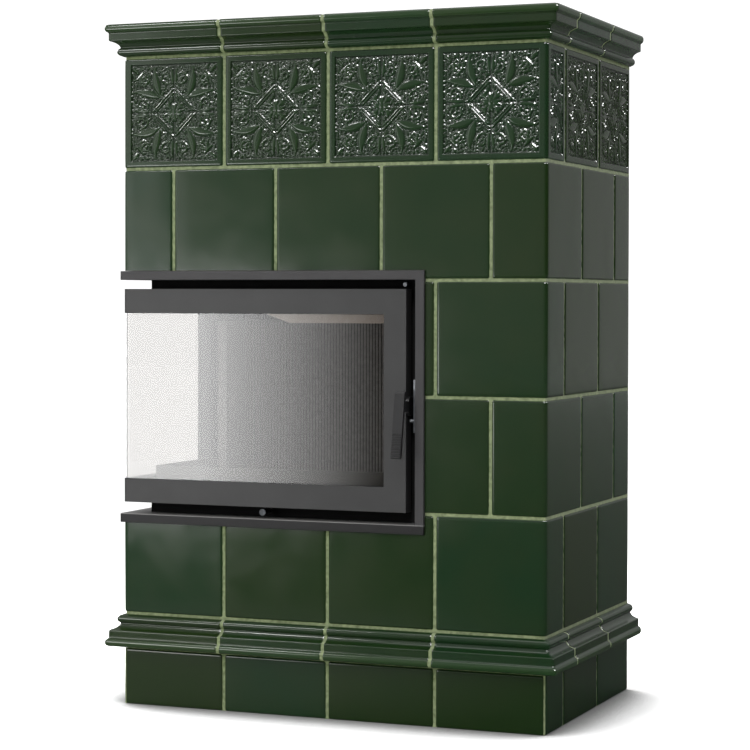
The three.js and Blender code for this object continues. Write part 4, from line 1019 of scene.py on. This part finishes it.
# %% Darker grooves in the ribs
CREST_PLACE, GROOVE_PLACE = 0.1552, 0.1566
ribbed = grained("ribbed_vermiculite_dark_grooves", "#8a8a89", "#a2a2a1", 9, 2.5, 0.25, 0.88)
tree = ribbed.node_tree
board = tree.nodes["Principled BSDF"]
crest_colour = board.inputs["Base Color"].links[0].from_socket
place = add(tree, "TexCoord", {}).outputs["Object"]
depth = add(tree, "SeparateXYZ", {"Vector": place}).outputs["Y"]
# Darker in the grooves between the ribs, lighter on their crests.
inputs = {"Value": depth, "From Min": CREST_PLACE, "From Max": GROOVE_PLACE, "To Max": 0.85}
groove = add(tree, "MapRange", inputs)
groove_darkened = add(tree, "Mix", {0: groove.outputs[0], 6: crest_colour, 7: linear("#1c1b1a")}, data_type="RGBA")
tree.links.new(groove_darkened.outputs[2], board.inputs["Base Color"])
print("ribbed lining nodes:", len(tree.nodes))


# %% [markdown]
# ## Fire glass
# The panes are ceramic glass 5 mm thick. The thin panes bend nothing that can be seen, so the
# shader lets light straight through and adds a reflection, stronger at a shallow angle, as the
# Fresnel law gives. Its tint is so slight that only the edge of a pane looks dark.

# %% Glass
fire_glass, tree, _ = new_material("ceramic_fire_glass")
clear = add(tree, "BsdfTransparent", {"Color": linear("#e2e1e0")})
gloss = add(tree, "BsdfGlossy", {"Color": linear("#ffffff"), "Roughness": 0.02})
angle = add(tree, "Fresnel", {"IOR": 1.5})
inside = add(tree, "NewGeometry", {}).outputs["Backfacing"]
outer = add(tree, "Math", {0: 1.0, 1: inside}, operation="SUBTRACT")
share = add(tree, "Math", {0: angle.outputs[0], 1: outer.outputs[0]}, operation="MULTIPLY")
glass = add(tree, "MixShader", {0: share.outputs[0], 1: clear.outputs[0], 2: gloss.outputs[0]})
add(tree, "OutputMaterial", {"Surface": glass.outputs[0]})
print("glass nodes:", len(tree.nodes))


# %% [markdown]
# ## Dress the CAD nodes
# The steel, lining and board pieces have their true shape in CAD. Each keeps it and gets its
# finish and a weld, which joins the corners that the file format split. Most also get a small
# rounding of their edges: a dissolve takes out flat seams, and a bevel rounds what is left.

# %% CAD nodes
def dress(material, bevel_mm, *names):
    for name in names:
        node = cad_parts[name]
        node.data.materials.clear()
        node.data.materials.append(material)
        weld = node.modifiers.new("weld", "WELD")
        weld.merge_threshold = 0.01 * MM
        if bevel_mm:
            flat = node.modifiers.new("dissolve", "DECIMATE")
            flat.decimate_type = "DISSOLVE"
            flat.angle_limit = math.radians(1)
            bevel = node.modifiers.new("bevel", "BEVEL")
            bevel.width = bevel_mm * MM
            bevel.segments = 2
            bevel.angle_limit = math.radians(25)
            bevel.harden_normals = True
    print(material.name, len(names), "nodes")


dress(powder_grey, 0.8, "door_frame")
dress(trim_grey, 0.8, "trim_frame")
dress(handle_grey, 0.5, "door_handle", "latch_hub")
dress(heat_black_and_gap_shade, 0.6, "insert_base", "insert_top", "insert_back_wall", "insert_left_wall")
dress(heat_black_and_gap_shade, 0.6, "insert_right_wall", "insert_stand_left", "insert_stand_right")
dress(heat_black_and_gap_shade, 0.6, "upper_hinge_bracket", "lower_hinge_bracket", "smoke_hood", "flue_pipe")
dress(zinc, 0.3, "casing_screw", "latch_keeper", "ash_pan")
dress(dark_zinc, 0.3, "air_control")
dress(brushed, 0.5, "log_guard")
dress(iron, 0.8, "grate")
dress(ribbed, 0, "back_lining")
dress(vermiculite, 1.0, "right_lining", "left_lining", "hearth_floor")
dress(chamotte, 1.0, "baffle")
dress(silicate, 1.0, "back_panel", "top_cover")
dress(concrete, 2.0, "base_slab")
dress(rope, 0, "door_seal")
dress(fire_glass, 0, "front_glass", "side_glass")


# %% [markdown]
# ## Seam of the panes
# Where the two panes meet at the corner, a thin bead of black silicone closes the joint. It is a
# straight line with a round section, so a curve with a bevel makes it.

# %% Corner seam
SEAM = 1.3 * MM
low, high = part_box("front_glass")
line = bpy.data.curves.new("corner_seam", "CURVE")
line.dimensions = "3D"
line.bevel_depth = SEAM
line.bevel_resolution = 3
line.use_fill_caps = True
spline = line.splines.new("POLY")
spline.points.add(1)
for point, z in zip(spline.points, (low[2] + 0.001, high[2] - 0.001)):
    point.co = (low[0] + SEAM, low[1] + SEAM, z, 1)
silicone = grained("black_silicone", "#2a2d2b", "#343836", 10, 2.0, 0.02, 0.5)
line.materials.append(silicone)
seam = bpy.data.objects.new("corner_seam", line)
bpy.context.scene.collection.objects.link(seam)
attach(seam, "door")
print("seam:", round(high[2] - low[2], 3), "m")
